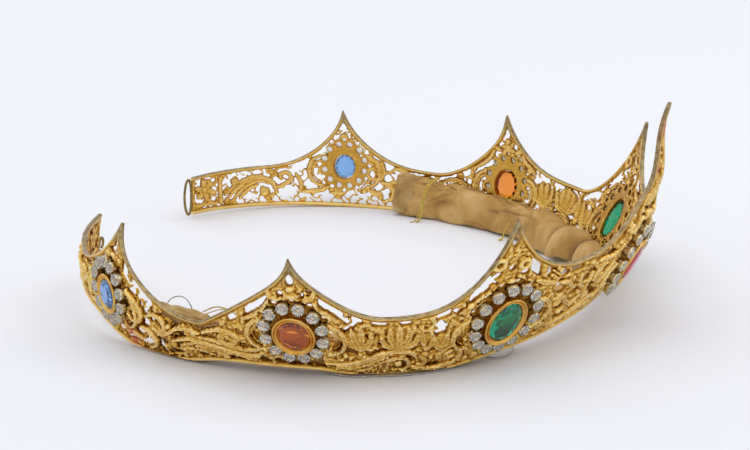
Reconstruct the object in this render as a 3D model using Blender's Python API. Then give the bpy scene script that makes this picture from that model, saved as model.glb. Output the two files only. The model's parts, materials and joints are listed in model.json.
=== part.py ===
"""A pierced gilt tiara with seven points, seven oval stones and a padded lining.

The band is drawn flat, as its maker would cut it: length along the lower rim, depth through the
metal and height up the wall. Every soldered or sewn piece is modelled on that flat strip and then
bent round the head, so neighbouring pieces keep their gaps. Lengths in the tables are millimetres.
"""

from math import cos, pi, radians, sin

import bmesh
import bpy
import numpy as np
from mathutils import Matrix, Vector
from mathutils.geometry import delaunay_2d_cdt

MM = 0.001
GAP = 0.3

NEAR_END = -228.5
FAR_END = 222.5
# Brings the middle of the whole piece over the origin.
RIM_SHIFT = (-2.57, -71.22)

SHEET = 1.0
LOWER_RIM_HEIGHT = 2.1
LOWER_RIM_DEPTH = 2.0
UPPER_RIM_HEIGHT = 1.5
UPPER_RIM_DEPTH = 1.7
RELIEF = 1.3
# The least sheet left between a gap and a rim.
EDGE_CLEAR = 0.4
LEAN_HEIGHT = 32.0

# How the strip is bent: station along the rim, bend in radians per 100 mm, lean of the wall in
# degrees at the rim and LEAN_HEIGHT above it.
BEND = (
    (-225, 1.72, 1.5, -35.0),
    (-170, 1.28, 20.0, -23.5),
    (-110, 1.05, 33.0, 11.5),
    (-55, 1.32, 36.0, 13.0),
    (0, 1.44, 45.5, 12.5),
    (55, 1.09, 41.0, 16.0),
    (110, 0.85, 29.5, -6.5),
    (170, 1.26, 19.5, -9.5),
    (225, 1.92, 2.5, -28.0),
)
# How far the worn rim stands off the surface: station and height.
LIFT = (
    (-235, 9.5),
    (-185, 5.0),
    (-158, 0.0),
    (-144, 0.0),
    (-125, 1.8),
    (-100, 1.4),
    (-82, 0.0),
    (-70, 0.0),
    (-45, 3.4),
    (0, 7.8),
    (45, 4.2),
    (70, 0.0),
    (145, 0.0),
    (216, 1.7),
)

# The seven points: name, station, tip height, stone height, stone half width, stone half height,
# halo half width, halo half height, clear stones in the halo, stone colour.
POINTS = (
    ("blue_near", -167.5, 36.0, 14.8, 3.6, 4.3, 7.2, 8.0, 12, (0.09, 0.22, 0.60)),
    ("orange_near", -104.0, 40.4, 16.2, 4.3, 5.3, 7.6, 9.1, 12, (0.55, 0.14, 0.02)),
    ("green_near", -50.0, 48.5, 15.8, 4.5, 6.8, 8.5, 10.5, 14, (0.01, 0.22, 0.13)),
    ("red_front", 0.0, 67.4, 15.9, 5.2, 6.6, 9.8, 11.2, 16, (0.45, 0.02, 0.07)),
    ("green_far", 49.6, 49.1, 15.4, 4.5, 6.8, 8.5, 10.5, 14, (0.01, 0.22, 0.13)),
    ("orange_far", 104.2, 40.7, 15.4, 4.3, 5.3, 7.6, 9.1, 12, (0.55, 0.14, 0.02)),
    ("blue_far", 166.0, 35.9, 14.4, 3.6, 4.3, 7.2, 8.0, 12, (0.09, 0.22, 0.60)),
)

# The upper edge on each side of a point: index of the point, side, length to the lowest place, its
# height, power of the slope, share of the spike and power of the spike.
FLANKS = (
    (0, -1, 34.0, 14.6, 2.5, 0.2, 16),
    (0, 1, 36.5, 15.3, 1.5, 0.2, 16),
    (1, -1, 27.0, 15.3, 1.15, 0.2, 16),
    (1, 1, 22.9, 23.1, 1.8, 0.2, 16),
    (2, -1, 31.1, 23.1, 2.8, 0.2, 14),
    (2, 1, 24.5, 27.6, 2.7, 0.2, 9),
    (3, -1, 25.5, 27.6, 2.0, 0.52, 9),
    (3, 1, 25.5, 26.8, 2.0, 0.52, 9),
    (4, -1, 24.1, 26.8, 3.3, 0.2, 9),
    (4, 1, 23.0, 22.2, 1.7, 0.2, 14),
    (5, -1, 31.6, 22.2, 3.8, 0.2, 16),
    (5, 1, 28.8, 15.2, 1.85, 0.2, 16),
    (6, -1, 33.0, 15.2, 2.8, 0.2, 16),
    (6, 1, 30.0, 14.6, 2.5, 0.2, 16),
)
END_HEIGHT = 13.6

# Gaps of one flank: kind, place along it (0 at the point, 1 at the lowest place), place up the
# wall (0 at the lower rim, 1 at the upper), length, height, turn in degrees.
FLANK_GAPS = (
    ("moon", 0.40, 0.42, 5.2, 5.0, 200),
    ("oval", 0.545, 0.80, 2.3, 2.3, 20),
    ("oval", 0.55, 0.20, 3.2, 2.8, 15),
    ("oval", 0.73, 0.52, 3.6, 1.7, 25),
    ("oval", 0.80, 0.14, 3.4, 1.8, -8),
)
# Slots that follow the upper edge: start and end along the flank, height at start and end.
RIM_SLOTS = (
    (0.21, 0.43, 2.5, 1.7),
    (0.66, 0.88, 1.8, 1.5),
)
# The window under each tip: half its foot and head, half its height, and how far below the tip.
WINDOW_FOOT = 1.2
WINDOW_HEAD = 0.2
WINDOW_RISE = 1.5
WINDOW_DROP = 6.0
FRONT_WINDOW_DROP = 22.0
FRONT_POINT = "red_front"

# Gaps of an end strip, measured back from its end: kind, distance, height, length, height, turn.
STRIP_GAPS = (
    ("oval", 3.0, 12.0, 2.0, 1.8, 0),
    ("oval", 8.6, 12.0, 2.0, 1.8, 0),
    ("oval", 3.0, 4.3, 2.0, 1.8, 0),
    ("oval", 8.6, 4.3, 2.0, 1.8, 0),
    ("oval", 13.6, 10.8, 2.4, 3.8, 0),
    ("oval", 15.6, 4.8, 4.6, 2.2, -10),
    ("oval", 19.4, 12.6, 4.4, 1.6, 5),
    ("oval", 23.2, 4.9, 5.2, 2.6, 10),
    ("oval", 25.6, 12.9, 3.0, 1.6, 0),
    ("oval", 29.6, 6.2, 2.4, 3.6, -15),
    ("oval", 35.0, 12.4, 3.0, 2.4, 0),
)
STRIP_LENGTH = 38.0
HALO_TO_GAP = 2.4

# Raised work of one flank, scroll, leaf, spray, fan and berries: along, up, radius.
FLANK_RELIEF = (
    (0.33, 0.64, 1.5),
    (0.31, 0.42, 1.5),
    (0.36, 0.22, 1.5),
    (0.44, 0.10, 1.5),
    (0.64, 0.36, 1.5),
    (0.90, 0.42, 1.5),
    (0.64, 0.68, 1.5),
    (0.88, 0.64, 1.5),
    (0.98, 0.20, 1.5),
    (0.98, 0.70, 1.5),
    (0.47, 0.66, 1.1),
    (0.66, 0.12, 1.1),
    (0.16, 0.80, 1.2),
)
# Raised work of an end strip, rosette, berry and arched leaf: distance, height, radius.
STRIP_RELIEF = (
    (5.8, 8.2, 2.6),
    (16.0, 8.0, 1.5),
    (19.0, 10.4, 1.5),
    (22.5, 10.0, 1.5),
    (26.0, 8.6, 1.5),
    (32.5, 8.5, 1.5),
    (36.0, 8.0, 1.5),
)
# The three berries above each halo: distance to each side, rise above the halo, radius.
CREST_SPREAD = 1.8
CREST_RISE = 3.6
CREST_RADIUS = 1.3

# How finely the band is divided.
LOWER_RIM_STEPS = 84
UPPER_RIM_STEP = 4.2
TIP_REACH = 8.5
TIP_STEPS = (0.0, 0.8, 2.0, 4.2, 7.0)
HALO_RING_SIDES = 16
GRID_STEP = 7.2
GRID_FIRST = 5.5
GRID_LAST = 40.0
GRID_TO_EDGE = 2.4
GRID_TO_SPOT = 2.0
SPOT_TO_GAP = 0.35

COLLET_WALL = 1.2
COLLET_SIDES = 18
# Section of a collet: distance beyond the stone's edge and depth.
COLLET_SECTION = (
    (1.2, -0.3),
    (1.2, 2.5),
    (1.5, 3.0),
    (1.1, 3.5),
    (0.3, 2.3),
    (-0.5, 1.9),
    (0.3, 0.9),
    (0.3, -0.3),
)
# Rings of a cut stone from its back: share of the full size and depth.
STONE_RINGS = ((0.3, 0.9), (1.0, 2.65), (1.0, 2.9), (0.62, 4.1))
STONE_SIDES = 12
# Rings of a small clear stone in its cup: radius and depth above the halo's base.
CLEAR_RINGS = ((1.65, 0.2), (0.95, 1.8))
CLEAR_SIDES = 8
HALO_BASE = 0.45
HALO_EDGE = 0.9
HALO_CLEAR = 2.3
RELIEF_FADE = 6.0

# The padding: station and height of the roll.
PAD = ((-136, 12.6), (-110, 11.0), (-60, 9.5), (60, 9.5), (110, 11.0), (139, 12.8))
PAD_DEPTH = 7.6
# The roll leans against the wall, so at its foot it would pass the rim line by this much.
PAD_OFFSET = -0.5
PAD_LIFT = 0.4
PAD_SIDES = 8
PAD_SECTIONS = 40
PAD_SQUARENESS = 0.7
PAD_LEAN = 0.8

LOOP_WIRE = 0.45
LOOP_HALF_WIDTH = 1.5
LOOP_SHARE = 0.95
LOOP_STEPS = 20
HOOK_RADIUS = 1.6
HOOK_HEIGHT = 3.0
HOOK_STEPS = 10


def smooth_curve(knots, values):
    """Return a function through the knots that never swings past them."""
    x = np.asarray(knots, float)
    y = np.asarray(values, float)
    width = np.diff(x)
    slope = np.diff(y) / width
    tangent = np.zeros_like(y)
    for i in range(1, len(x) - 1):
        if slope[i - 1] * slope[i] > 0:
            before = 2 * width[i] + width[i - 1]
            after = width[i] + 2 * width[i - 1]
            tangent[i] = (before + after) / (before / slope[i - 1] + after / slope[i])
    tangent[0] = slope[0]
    tangent[-1] = slope[-1]

    def curve(at):
        at = np.clip(at, x[0], x[-1])
        i = np.clip(np.searchsorted(x, at) - 1, 0, len(width) - 1)
        t = (at - x[i]) / width[i]
        rise = y[i] * (1 + 2 * t) * (1 - t) ** 2 + y[i + 1] * t * t * (3 - 2 * t)
        return rise + width[i] * (tangent[i] * t * (1 - t) ** 2 - tangent[i + 1] * t * t * (1 - t))

    return curve


class Form:
    """The bent form of the strip: turns flat places into places round the head."""

    def __init__(self):
        stations = [row[0] for row in BEND]
        self.low = smooth_curve(stations, [radians(row[2]) for row in BEND])
        self.high = smooth_curve(stations, [radians(row[3]) for row in BEND])
        self.lift = smooth_curve([row[0] for row in LIFT], [row[1] for row in LIFT])
        self.s = np.linspace(-260, 260, 2081)
        bend = smooth_curve(stations, [row[1] / 100 for row in BEND])(self.s)
        self.turn = self.running_sum(bend)
        self.x = self.running_sum(np.cos(self.turn))
        self.y = self.running_sum(np.sin(self.turn))

    def running_sum(self, rate):
        """Add a rate up along the strip, from nothing at its middle."""
        total = np.concatenate([[0], np.cumsum((rate[1:] + rate[:-1]) / 2 * np.diff(self.s))])
        return total - np.interp(0, self.s, total)

    def place(self, length, depth, height):
        """Give world places in metres for flat places in millimetres."""
        turn = np.interp(length, self.s, self.turn)
        low = self.low(length)
        high = self.high(length)
        rise = np.clip(height, 0, LEAN_HEIGHT)
        rate = (high - low) / LEAN_HEIGHT
        rate = np.where(np.abs(rate) < 1e-6, 1e-6, rate)
        lean = low + rate * rise
        above = height - rise
        out = (np.cos(low) - np.cos(lean)) / rate + above * np.sin(lean) + depth * np.cos(lean)
        up = (np.sin(lean) - np.sin(low)) / rate + above * np.cos(lean) - depth * np.sin(lean)
        up = up + self.lift(length)
        x = np.interp(length, self.s, self.x) + np.sin(turn) * out + RIM_SHIFT[0]
        y = np.interp(length, self.s, self.y) - np.cos(turn) * out + RIM_SHIFT[1]
        return np.stack([x, y, up], -1) * MM

    def frame(self, length, height):
        """Give the flat strip's own axes at a place as a matrix, from millimetres to the world."""
        step = 0.5
        at = Vector(self.place(length, 0.0, height))
        along = (Vector(self.place(length + step, 0.0, height)) - at) / step
        out = (Vector(self.place(length, step, height)) - at) / step
        up = (Vector(self.place(length, 0.0, height + step)) - at) / step
        matrix = Matrix((along, out, up)).transposed().to_4x4()
        matrix.translation = at
        return matrix


FORM = Form()


def top_height(s):
    """Give the height of the upper edge at each station."""
    s = np.asarray(s, float)
    height = np.full(s.shape, END_HEIGHT)
    for point, side, length, low, power, spike, spike_power in FLANKS:
        station, tip = POINTS[point][1], POINTS[point][2]
        t = (s - station) * side / length
        inside = (t >= 0) & (t <= 1)
        rest = 1 - np.clip(t, 0, 1)
        rise = (1 - spike) * rest**power + spike * rest**spike_power
        height = np.where(inside, low + (tip - low) * rise, height)
    for flank, end in ((FLANKS[0], -NEAR_END), (FLANKS[-1], FAR_END)):
        side = flank[1]
        start = side * POINTS[flank[0]][1] + flank[2]
        share = np.clip((side * s - start) / (end - start), 0, 1)
        height = np.where(side * s > start, flank[3] + (END_HEIGHT - flank[3]) * share, height)
    return height


def turn_about(centre, x, y, turn):
    """Turn flat offsets by an angle and set them round a centre."""
    along = centre[0] + x * cos(turn) - y * sin(turn)
    up = centre[1] + x * sin(turn) + y * cos(turn)
    return np.stack([along, up], -1)


def oval(centre, half_length, half_height, turn=0.0, sides=7):
    """Give the corners of an oval on the flat strip."""
    angle = np.arange(sides) * 2 * pi / sides + pi / sides
    return turn_about(centre, half_length * np.cos(angle), half_height * np.sin(angle), turn)


def moon(centre, length, height, turn):
    """Give the corners of a crescent whose back faces the turn's direction."""
    outer = np.linspace(-1.9, 1.9, 5)
    inner = np.linspace(1.45, -1.45, 3)
    x = np.concatenate([np.cos(outer), 0.62 * np.cos(inner) - 0.22]) * length / 2
    y = np.concatenate([np.sin(outer), 0.72 * np.sin(inner)]) * height / 2
    return turn_about(centre, x, y, turn)


def gap_outline(kind, centre, length, height, turn):
    """Give the corners of a gap of the named kind."""
    if kind == "moon":
        return moon(centre, length, height, turn)
    return oval(centre, length / 2, height / 2, turn)


def flank_place(flank, along, up):
    """Turn a place on a flank's own chart into station and height."""
    point, side, length = flank[:3]
    s = POINTS[point][1] + side * along * length
    floor = LOWER_RIM_HEIGHT + EDGE_CLEAR
    ceiling = float(top_height(s)) - UPPER_RIM_HEIGHT - EDGE_CLEAR
    return s, floor + (ceiling - floor) * up


def on_strip(s):
    """Say whether a station belongs to an end strip's own chart."""
    return s < NEAR_END + STRIP_LENGTH or s > FAR_END - STRIP_LENGTH


def flank_gaps():
    """Give the outlines of the gaps on every flank."""
    gaps = []
    for flank in FLANKS:
        side = flank[1]
        station = POINTS[flank[0]][1]
        halo = POINTS[flank[0]][6] + HALO_TO_GAP
        for kind, along, up, length, height, turn in FLANK_GAPS:
            s, h = flank_place(flank, along, up)
            if on_strip(s) or abs(s - station) < halo + length / 2:
                continue
            angle = radians(turn) if side > 0 else pi - radians(turn)
            gaps.append(gap_outline(kind, (s, h), length, height, angle))
        for start, end, first, last in RIM_SLOTS:
            s = station + side * np.linspace(start, end, 3) * flank[2]
            if on_strip(s[-1]):
                continue
            edge = top_height(s) - UPPER_RIM_HEIGHT - EDGE_CLEAR
            upper = np.stack([s, edge], -1)
            lower = np.stack([s, edge - np.linspace(first, last, 3)], -1)
            gaps.append(np.concatenate([upper, lower[::-1]]))
    return gaps


def strip_gaps():
    """Give the outlines of the gaps on both end strips."""
    gaps = []
    for end, side in ((NEAR_END, 1), (FAR_END, -1)):
        for kind, distance, h, length, height, turn in STRIP_GAPS:
            angle = radians(turn) if side > 0 else pi - radians(turn)
            gaps.append(gap_outline(kind, (end + side * distance, h), length, height, angle))
    return gaps


def point_gaps():
    """Give the window under each tip and the opening behind each stone."""
    gaps = []
    for name, station, tip, stone_height, half_width, half_height in (row[:6] for row in POINTS):
        middle = tip - (FRONT_WINDOW_DROP if name == FRONT_POINT else WINDOW_DROP)
        foot = middle - WINDOW_RISE
        head = middle + WINDOW_RISE
        corners = ((-WINDOW_FOOT, foot), (WINDOW_FOOT, foot), (WINDOW_HEAD, head), (-WINDOW_HEAD, head))
        gaps.append(np.array([(station + x, h) for x, h in corners]))
        wall = COLLET_WALL + GAP
        middle = (station, stone_height)
        gaps.append(oval(middle, half_width + wall, half_height + wall, sides=COLLET_SIDES))
    return gaps


def relief_spots():
    """Give the raised spots: station, height and radius."""
    rows = []
    for flank in FLANKS:
        for along, up, radius in FLANK_RELIEF:
            s, h = flank_place(flank, along, up)
            if not on_strip(s):
                rows.append((s, h, radius))
    for end, side in ((NEAR_END, 1), (FAR_END, -1)):
        for distance, h, radius in STRIP_RELIEF:
            rows.append((end + side * distance, h, radius))
    for row in POINTS:
        crest = row[3] + row[7] + CREST_RISE
        for offset in (-CREST_SPREAD, 0.0, CREST_SPREAD):
            rows.append((row[1] + offset, crest, CREST_RADIUS))
    return np.array(rows)


def inside(outline, places):
    """Say which places lie inside a closed outline."""
    x, y = places[:, 0], places[:, 1]
    result = np.zeros(len(places), bool)
    for (x0, y0), (x1, y1) in zip(outline, np.roll(outline, -1, 0)):
        crosses = (y0 > y) != (y1 > y)
        with np.errstate(divide="ignore", invalid="ignore"):
            reach = x0 + (y - y0) * (x1 - x0) / (y1 - y0)
        result ^= crosses & (x < reach)
    return result


def near_outline(outline, places, distance):
    """Say which places lie closer to an outline than a distance."""
    result = np.zeros(len(places), bool)
    for start, end in zip(outline, np.roll(outline, -1, 0)):
        run = end - start
        share = np.clip(((places - start) @ run) / (run @ run), 0, 1)
        result |= np.linalg.norm(places - (start + share[:, None] * run), axis=1) < distance
    return result


def edge_stations():
    """Give stations along the upper edge, closer together near each tip."""
    ends = {NEAR_END, FAR_END}
    stations = set(np.round(np.arange(NEAR_END, FAR_END, UPPER_RIM_STEP), 2)) | ends
    for row in POINTS:
        stations = {s for s in stations if abs(s - row[1]) > TIP_REACH} | ends
        stations |= {row[1] + side * step for step in TIP_STEPS for side in (-1, 1)}
    return np.array(sorted(stations))


def rim_rows(lower, upper):
    """Give the inner places of both rims, for the stations of their edges."""
    rows = []
    for h in (LOWER_RIM_HEIGHT / 2, LOWER_RIM_HEIGHT):
        rows.append(np.stack([lower[1:-1], np.full(len(lower) - 2, h)], -1))
    tips = np.array([row[1] for row in POINTS])
    off_tip = np.abs(upper[:, None] - tips[None]).min(1) > UPPER_RIM_HEIGHT
    ledge = np.stack([upper, top_height(upper) - UPPER_RIM_HEIGHT], -1)
    rows.append(ledge[off_tip][1:-1])
    return rows


def band_chart():
    """Lay out the band flat: its outline, its gaps and the places that carry relief."""
    upper = edge_stations()
    lower = np.linspace(NEAR_END, FAR_END, LOWER_RIM_STEPS)
    foot = np.stack([lower, np.zeros_like(lower)], -1)
    top = np.stack([upper, top_height(upper)], -1)
    outline = np.concatenate([foot, top[::-1]])
    gaps = flank_gaps() + strip_gaps() + point_gaps()
    relief = relief_spots()
    rings = []
    for row in POINTS:
        ring = (row[6] + HALO_CLEAR, row[7] + HALO_CLEAR)
        rings.append(oval((row[1], row[3]), *ring, sides=HALO_RING_SIDES))
    spots = np.concatenate(rim_rows(lower, upper) + rings + [relief[:, :2]])
    stations = np.arange(NEAR_END + GRID_STEP / 2, FAR_END - GRID_TO_SPOT, GRID_STEP)
    heights = np.arange(GRID_FIRST, GRID_LAST, GRID_STEP)
    grid = np.array([(s, h) for s in stations for h in heights])
    grid = grid[~near_outline(outline, grid, GRID_TO_EDGE) & inside(outline, grid)]
    apart = [np.linalg.norm(spots - place, axis=1).min() > GRID_TO_SPOT for place in grid]
    spots = np.concatenate([spots, grid[np.array(apart)]])
    spots = spots[inside(outline, spots)]
    for gap in gaps:
        spots = spots[~(inside(gap, spots) | near_outline(gap, spots, SPOT_TO_GAP))]
    return outline, gaps, spots, relief


def depth_of(places, relief):
    """Give the outer depth of the metal at each place."""
    s, h = places[:, 0], places[:, 1]
    raised = np.zeros(len(places))
    for x, y, radius in relief:
        away = np.hypot(s - x, h - y) / radius
        raised = np.maximum(raised, RELIEF * np.clip(1 - away**2, 0, 1))
    for row in POINTS:
        wide = row[6] + HALO_CLEAR
        high = row[7] + HALO_CLEAR
        around = np.hypot((s - row[1]) / wide, (h - row[3]) / high)
        raised *= np.clip((around - 1) * RELIEF_FADE, 0, 1)
    depth = SHEET + raised
    below_edge = top_height(s) - h
    depth[below_edge < UPPER_RIM_HEIGHT + EDGE_CLEAR / 4] = UPPER_RIM_DEPTH
    low = h < LOWER_RIM_HEIGHT - EDGE_CLEAR / 4
    depth[low] = LOWER_RIM_DEPTH - (h[low] / (LOWER_RIM_HEIGHT / 2) - 1) ** 2
    return depth


def add_object(name, bm, collection, material):
    """Put a finished bmesh into the scene as a named object."""
    bmesh.ops.recalc_face_normals(bm, faces=bm.faces)
    if bm.calc_volume(signed=True) < 0:
        bmesh.ops.reverse_faces(bm, faces=bm.faces)
    mesh = bpy.data.meshes.new(name)
    bm.to_mesh(mesh)
    bm.free()
    mesh.materials.append(material)
    obj = bpy.data.objects.new(name, mesh)
    collection.objects.link(obj)
    return obj


def bend(bm):
    """Bend a bmesh drawn on the flat strip round the head, and stand it on the surface."""
    flat = np.array([vert.co[:] for vert in bm.verts])
    places = FORM.place(flat[:, 0], flat[:, 1], flat[:, 2])
    floor = np.clip(flat[:, 2] / LOWER_RIM_HEIGHT, 0, 1) * LOWER_RIM_HEIGHT / 2 * MM
    places[:, 2] = np.maximum(places[:, 2], floor)
    for vert, place in zip(bm.verts, places):
        vert.co = place


def make_band(collection, material):
    """Pierce the flat sheet, raise its relief, thicken it and bend it."""
    outline, gaps, spots, relief = band_chart()
    loops = [outline] + gaps
    places = np.concatenate(loops + [spots])
    edges = []
    first = 0
    for loop in loops:
        count = len(loop)
        edges += [(first + i, first + (i + 1) % count) for i in range(count)]
        first += count
    flat, _, faces, _, _, _ = delaunay_2d_cdt([Vector(p) for p in places], edges, [], 0, 1e-4)
    flat = np.array([p[:] for p in flat])
    middles = np.array([flat[list(face)].mean(0) for face in faces])
    keep = inside(outline, middles)
    for gap in gaps:
        keep &= ~inside(gap, middles)
    bm = bmesh.new()
    verts = [bm.verts.new((p[0], 0.0, p[1])) for p in flat]
    for face, kept in zip(faces, keep):
        if kept:
            bm.faces.new([verts[i] for i in face])
    bmesh.ops.delete(bm, geom=[v for v in bm.verts if not v.link_faces], context="VERTS")
    sheet = bmesh.ops.extrude_face_region(bm, geom=list(bm.faces), use_keep_orig=True)
    front = [item for item in sheet["geom"] if isinstance(item, bmesh.types.BMVert)]
    chart = np.array([(v.co.x, v.co.z) for v in front])
    for vert, depth in zip(front, depth_of(chart, relief)):
        vert.co.y = depth
    bend(bm)
    return add_object("band", bm, collection, material)


def raise_cap(bm, cap):
    """Extrude the end face of a tube and give the new end face with its corners."""
    closed = any(len(edge.link_faces) > 1 for edge in cap.edges)
    grown = bmesh.ops.extrude_face_region(bm, geom=[cap], use_keep_orig=True)["geom"]
    if closed:
        bmesh.ops.delete(bm, geom=[cap], context="FACES_ONLY")
    cap = next(item for item in grown if isinstance(item, bmesh.types.BMFace))
    return cap, list(cap.verts)


def join_loops(bm, loops):
    """Close a ring of loops of corners into a tube that meets itself."""
    sides = len(loops[0])
    for loop, following in zip(loops, loops[1:] + loops[:1]):
        for i in range(sides):
            after = (i + 1) % sides
            bm.faces.new((loop[i], loop[after], following[after], following[i]))


def turned(bm, rings, sides, place):
    """Build a closed turned solid from its back ring to its front ring."""
    start = bmesh.ops.create_circle(bm, cap_ends=True, radius=1.0, segments=sides)["verts"]
    angles = [2 * pi * (i + 0.5) / sides for i in range(sides)]
    cap = start[0].link_faces[0]
    ring = list(cap.verts)
    for size, depth in rings:
        if (size, depth) != rings[0]:
            cap, ring = raise_cap(bm, cap)
        for vert, angle in zip(ring, angles):
            vert.co = place(size, depth, angle)


def make_stone(row, collection, material):
    """Cut an oval stone with a table, twelve crown facets and a pointed back."""
    name, station, _, height, half_width, half_height = row[:6]
    bm = bmesh.new()

    def place(size, depth, angle):
        return Vector((half_width * size * cos(angle), depth, half_height * size * sin(angle)))

    turned(bm, STONE_RINGS, STONE_SIDES, place)
    bmesh.ops.transform(bm, matrix=FORM.frame(station, height), verts=bm.verts)
    return add_object("stone_" + name, bm, collection, material)


def make_setting(row, collection, material):
    """Turn the open-backed oval collet that holds a main stone."""
    name, station, _, height, half_width, half_height = row[:6]
    bm = bmesh.new()
    loops = []
    for beyond, depth in COLLET_SECTION:
        ring = oval((0, 0), half_width + beyond, half_height + beyond, sides=COLLET_SIDES)
        loops.append([bm.verts.new((x, depth, z)) for x, z in ring])
    join_loops(bm, loops)
    bmesh.ops.transform(bm, matrix=FORM.frame(station, height), verts=bm.verts)
    return add_object("setting_" + name, bm, collection, material)


def scratch_object(name, bm, collection):
    """Put a flat working shape into the scene, hidden, as a guide."""
    obj = add_object(name, bm, collection, bpy.data.materials["gilt_brass"])
    obj.hide_render = True
    obj.display_type = "WIRE"
    return obj


def halo_base(row, bottom):
    """Lay out the flat oval ring that carries the cups of a halo."""
    station, height, half_width, half_height, wide, high = row[1], *row[3:8]
    inner = COLLET_WALL + GAP
    hole = (half_width + inner, half_height + inner)
    edge = (wide + HALO_EDGE, high + HALO_EDGE)
    top = bottom + HALO_BASE
    bm = bmesh.new()
    loops = []
    for half, depth in ((hole, bottom), (edge, bottom), (edge, top), (hole, top)):
        ring = oval((station, height), *half, sides=COLLET_SIDES)
        loops.append([bm.verts.new((x, depth, z)) for x, z in ring])
    join_loops(bm, loops)
    return bm


def halo_cups(row, bottom):
    """Set the small clear stones in their cups round a halo."""
    station, height, wide, high, count = row[1], row[3], *row[6:9]
    bm = bmesh.new()
    for i in range(count):
        around = 2 * pi * (i + 0.5) / count
        x = station + wide * cos(around)
        z = height + high * sin(around)

        def place(size, depth, angle, x=x, z=z, around=around):
            return Vector((x + size * cos(angle + around), bottom + depth, z + size * sin(angle + around)))

        turned(bm, CLEAR_RINGS, CLEAR_SIDES, place)
    return bm


def make_halo(row, guides, collection, material):
    """Join a ring of clear stones in cups to their oval base and bend it on the band."""
    bottom = SHEET + GAP
    ring = scratch_object("halo_base_" + row[0], halo_base(row, bottom), guides)
    clear = scratch_object("halo_cups_" + row[0], halo_cups(row, bottom), guides)
    join = ring.modifiers.new("join", "BOOLEAN")
    join.operation = "UNION"
    join.object = clear
    graph = bpy.context.evaluated_depsgraph_get()
    bm = bmesh.new()
    bm.from_object(ring, graph)
    bmesh.ops.triangulate(bm, faces=bm.faces)
    bend(bm)
    halo = add_object("halo_" + row[0], bm, collection, material)
    for obj in (ring, clear):
        bpy.data.objects.remove(obj)
    return halo


def make_padding(collection, material):
    """Sweep the flattened leather roll along the inside of the lower band."""
    stations = [row[0] for row in PAD]
    height = smooth_curve(stations, [row[1] for row in PAD])
    angles = np.arange(PAD_SIDES) * 2 * pi / PAD_SIDES
    bm = bmesh.new()
    circle = bmesh.ops.create_circle(bm, cap_ends=True, radius=1.0, segments=PAD_SIDES)["verts"]
    cap = circle[0].link_faces[0]
    ring = list(cap.verts)
    half = PAD_DEPTH / 2
    for s in np.linspace(stations[0], stations[-1], PAD_SECTIONS):
        if s > stations[0]:
            cap, ring = raise_cap(bm, cap)
        tall = float(height(s)) / 2
        turn = float(np.interp(s, FORM.s, FORM.turn))
        lean = float(FORM.low(s)) * PAD_LEAN
        for vert, angle in zip(ring, angles):
            across = half * np.sign(cos(angle)) * abs(cos(angle)) ** PAD_SQUARENESS
            up = tall + tall * np.sign(sin(angle)) * abs(sin(angle)) ** PAD_SQUARENESS
            inward = PAD_OFFSET + half + across - up * np.sin(lean) * PAD_LEAN
            x = np.interp(s, FORM.s, FORM.x) - np.sin(turn) * inward + RIM_SHIFT[0]
            y = np.interp(s, FORM.s, FORM.y) + np.cos(turn) * inward + RIM_SHIFT[1]
            vert.co = Vector((x, y, PAD_LIFT + float(FORM.lift(s)) + up)) * MM
    return add_object("padding", bm, collection, material)


def bent_wire(name, flat_points, closed, collection, material):
    """Run a thin wire through places on the flat strip."""
    curve = bpy.data.curves.new(name, "CURVE")
    curve.dimensions = "3D"
    curve.bevel_depth = LOOP_WIRE * MM
    curve.bevel_resolution = 1
    curve.use_fill_caps = True
    spline = curve.splines.new("POLY")
    spline.points.add(len(flat_points) - 1)
    flat = np.array(flat_points)
    for point, place in zip(spline.points, FORM.place(flat[:, 0], flat[:, 1], flat[:, 2])):
        point.co = (*place, 1.0)
    spline.use_cyclic_u = closed
    obj = bpy.data.objects.new(name + "_path", curve)
    collection.objects.link(obj)
    graph = bpy.context.evaluated_depsgraph_get()
    bm = bmesh.new()
    bm.from_mesh(bpy.data.meshes.new_from_object(obj.evaluated_get(graph)))
    bmesh.ops.remove_doubles(bm, verts=bm.verts, dist=1e-6)
    bpy.data.objects.remove(obj)
    return add_object(name, bm, collection, material)


def make_end_loop(collection, material):
    """Bend the tall wire loop that stands at the far end."""
    middle = END_HEIGHT / 2
    along = FAR_END + GAP + LOOP_WIRE + LOOP_HALF_WIDTH
    points = []
    for angle in np.arange(LOOP_STEPS) * 2 * pi / LOOP_STEPS:
        height = middle + middle * LOOP_SHARE * sin(angle)
        points.append((along + LOOP_HALF_WIDTH * cos(angle), SHEET / 2, height))
    return bent_wire("end_loop", points, True, collection, material)


def make_end_hook(collection, material):
    """Bend the small open hook at the foot of the near end."""
    along = NEAR_END - GAP - LOOP_WIRE - HOOK_RADIUS
    points = []
    for angle in np.linspace(0.0, 1.5 * pi, HOOK_STEPS):
        height = HOOK_HEIGHT + HOOK_RADIUS * sin(angle)
        points.append((along + HOOK_RADIUS * cos(angle), SHEET / 2, height))
    return bent_wire("end_hook", points, False, collection, material)


def make_material(name, colour, roughness, metallic):
    """Make a plain Principled material."""
    material = bpy.data.materials.new(name)
    material.use_nodes = True
    surface = material.node_tree.nodes["Principled BSDF"]
    surface.inputs["Base Color"].default_value = (*colour, 1.0)
    surface.inputs["Roughness"].default_value = roughness
    surface.inputs["Metallic"].default_value = metallic
    return material


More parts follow.
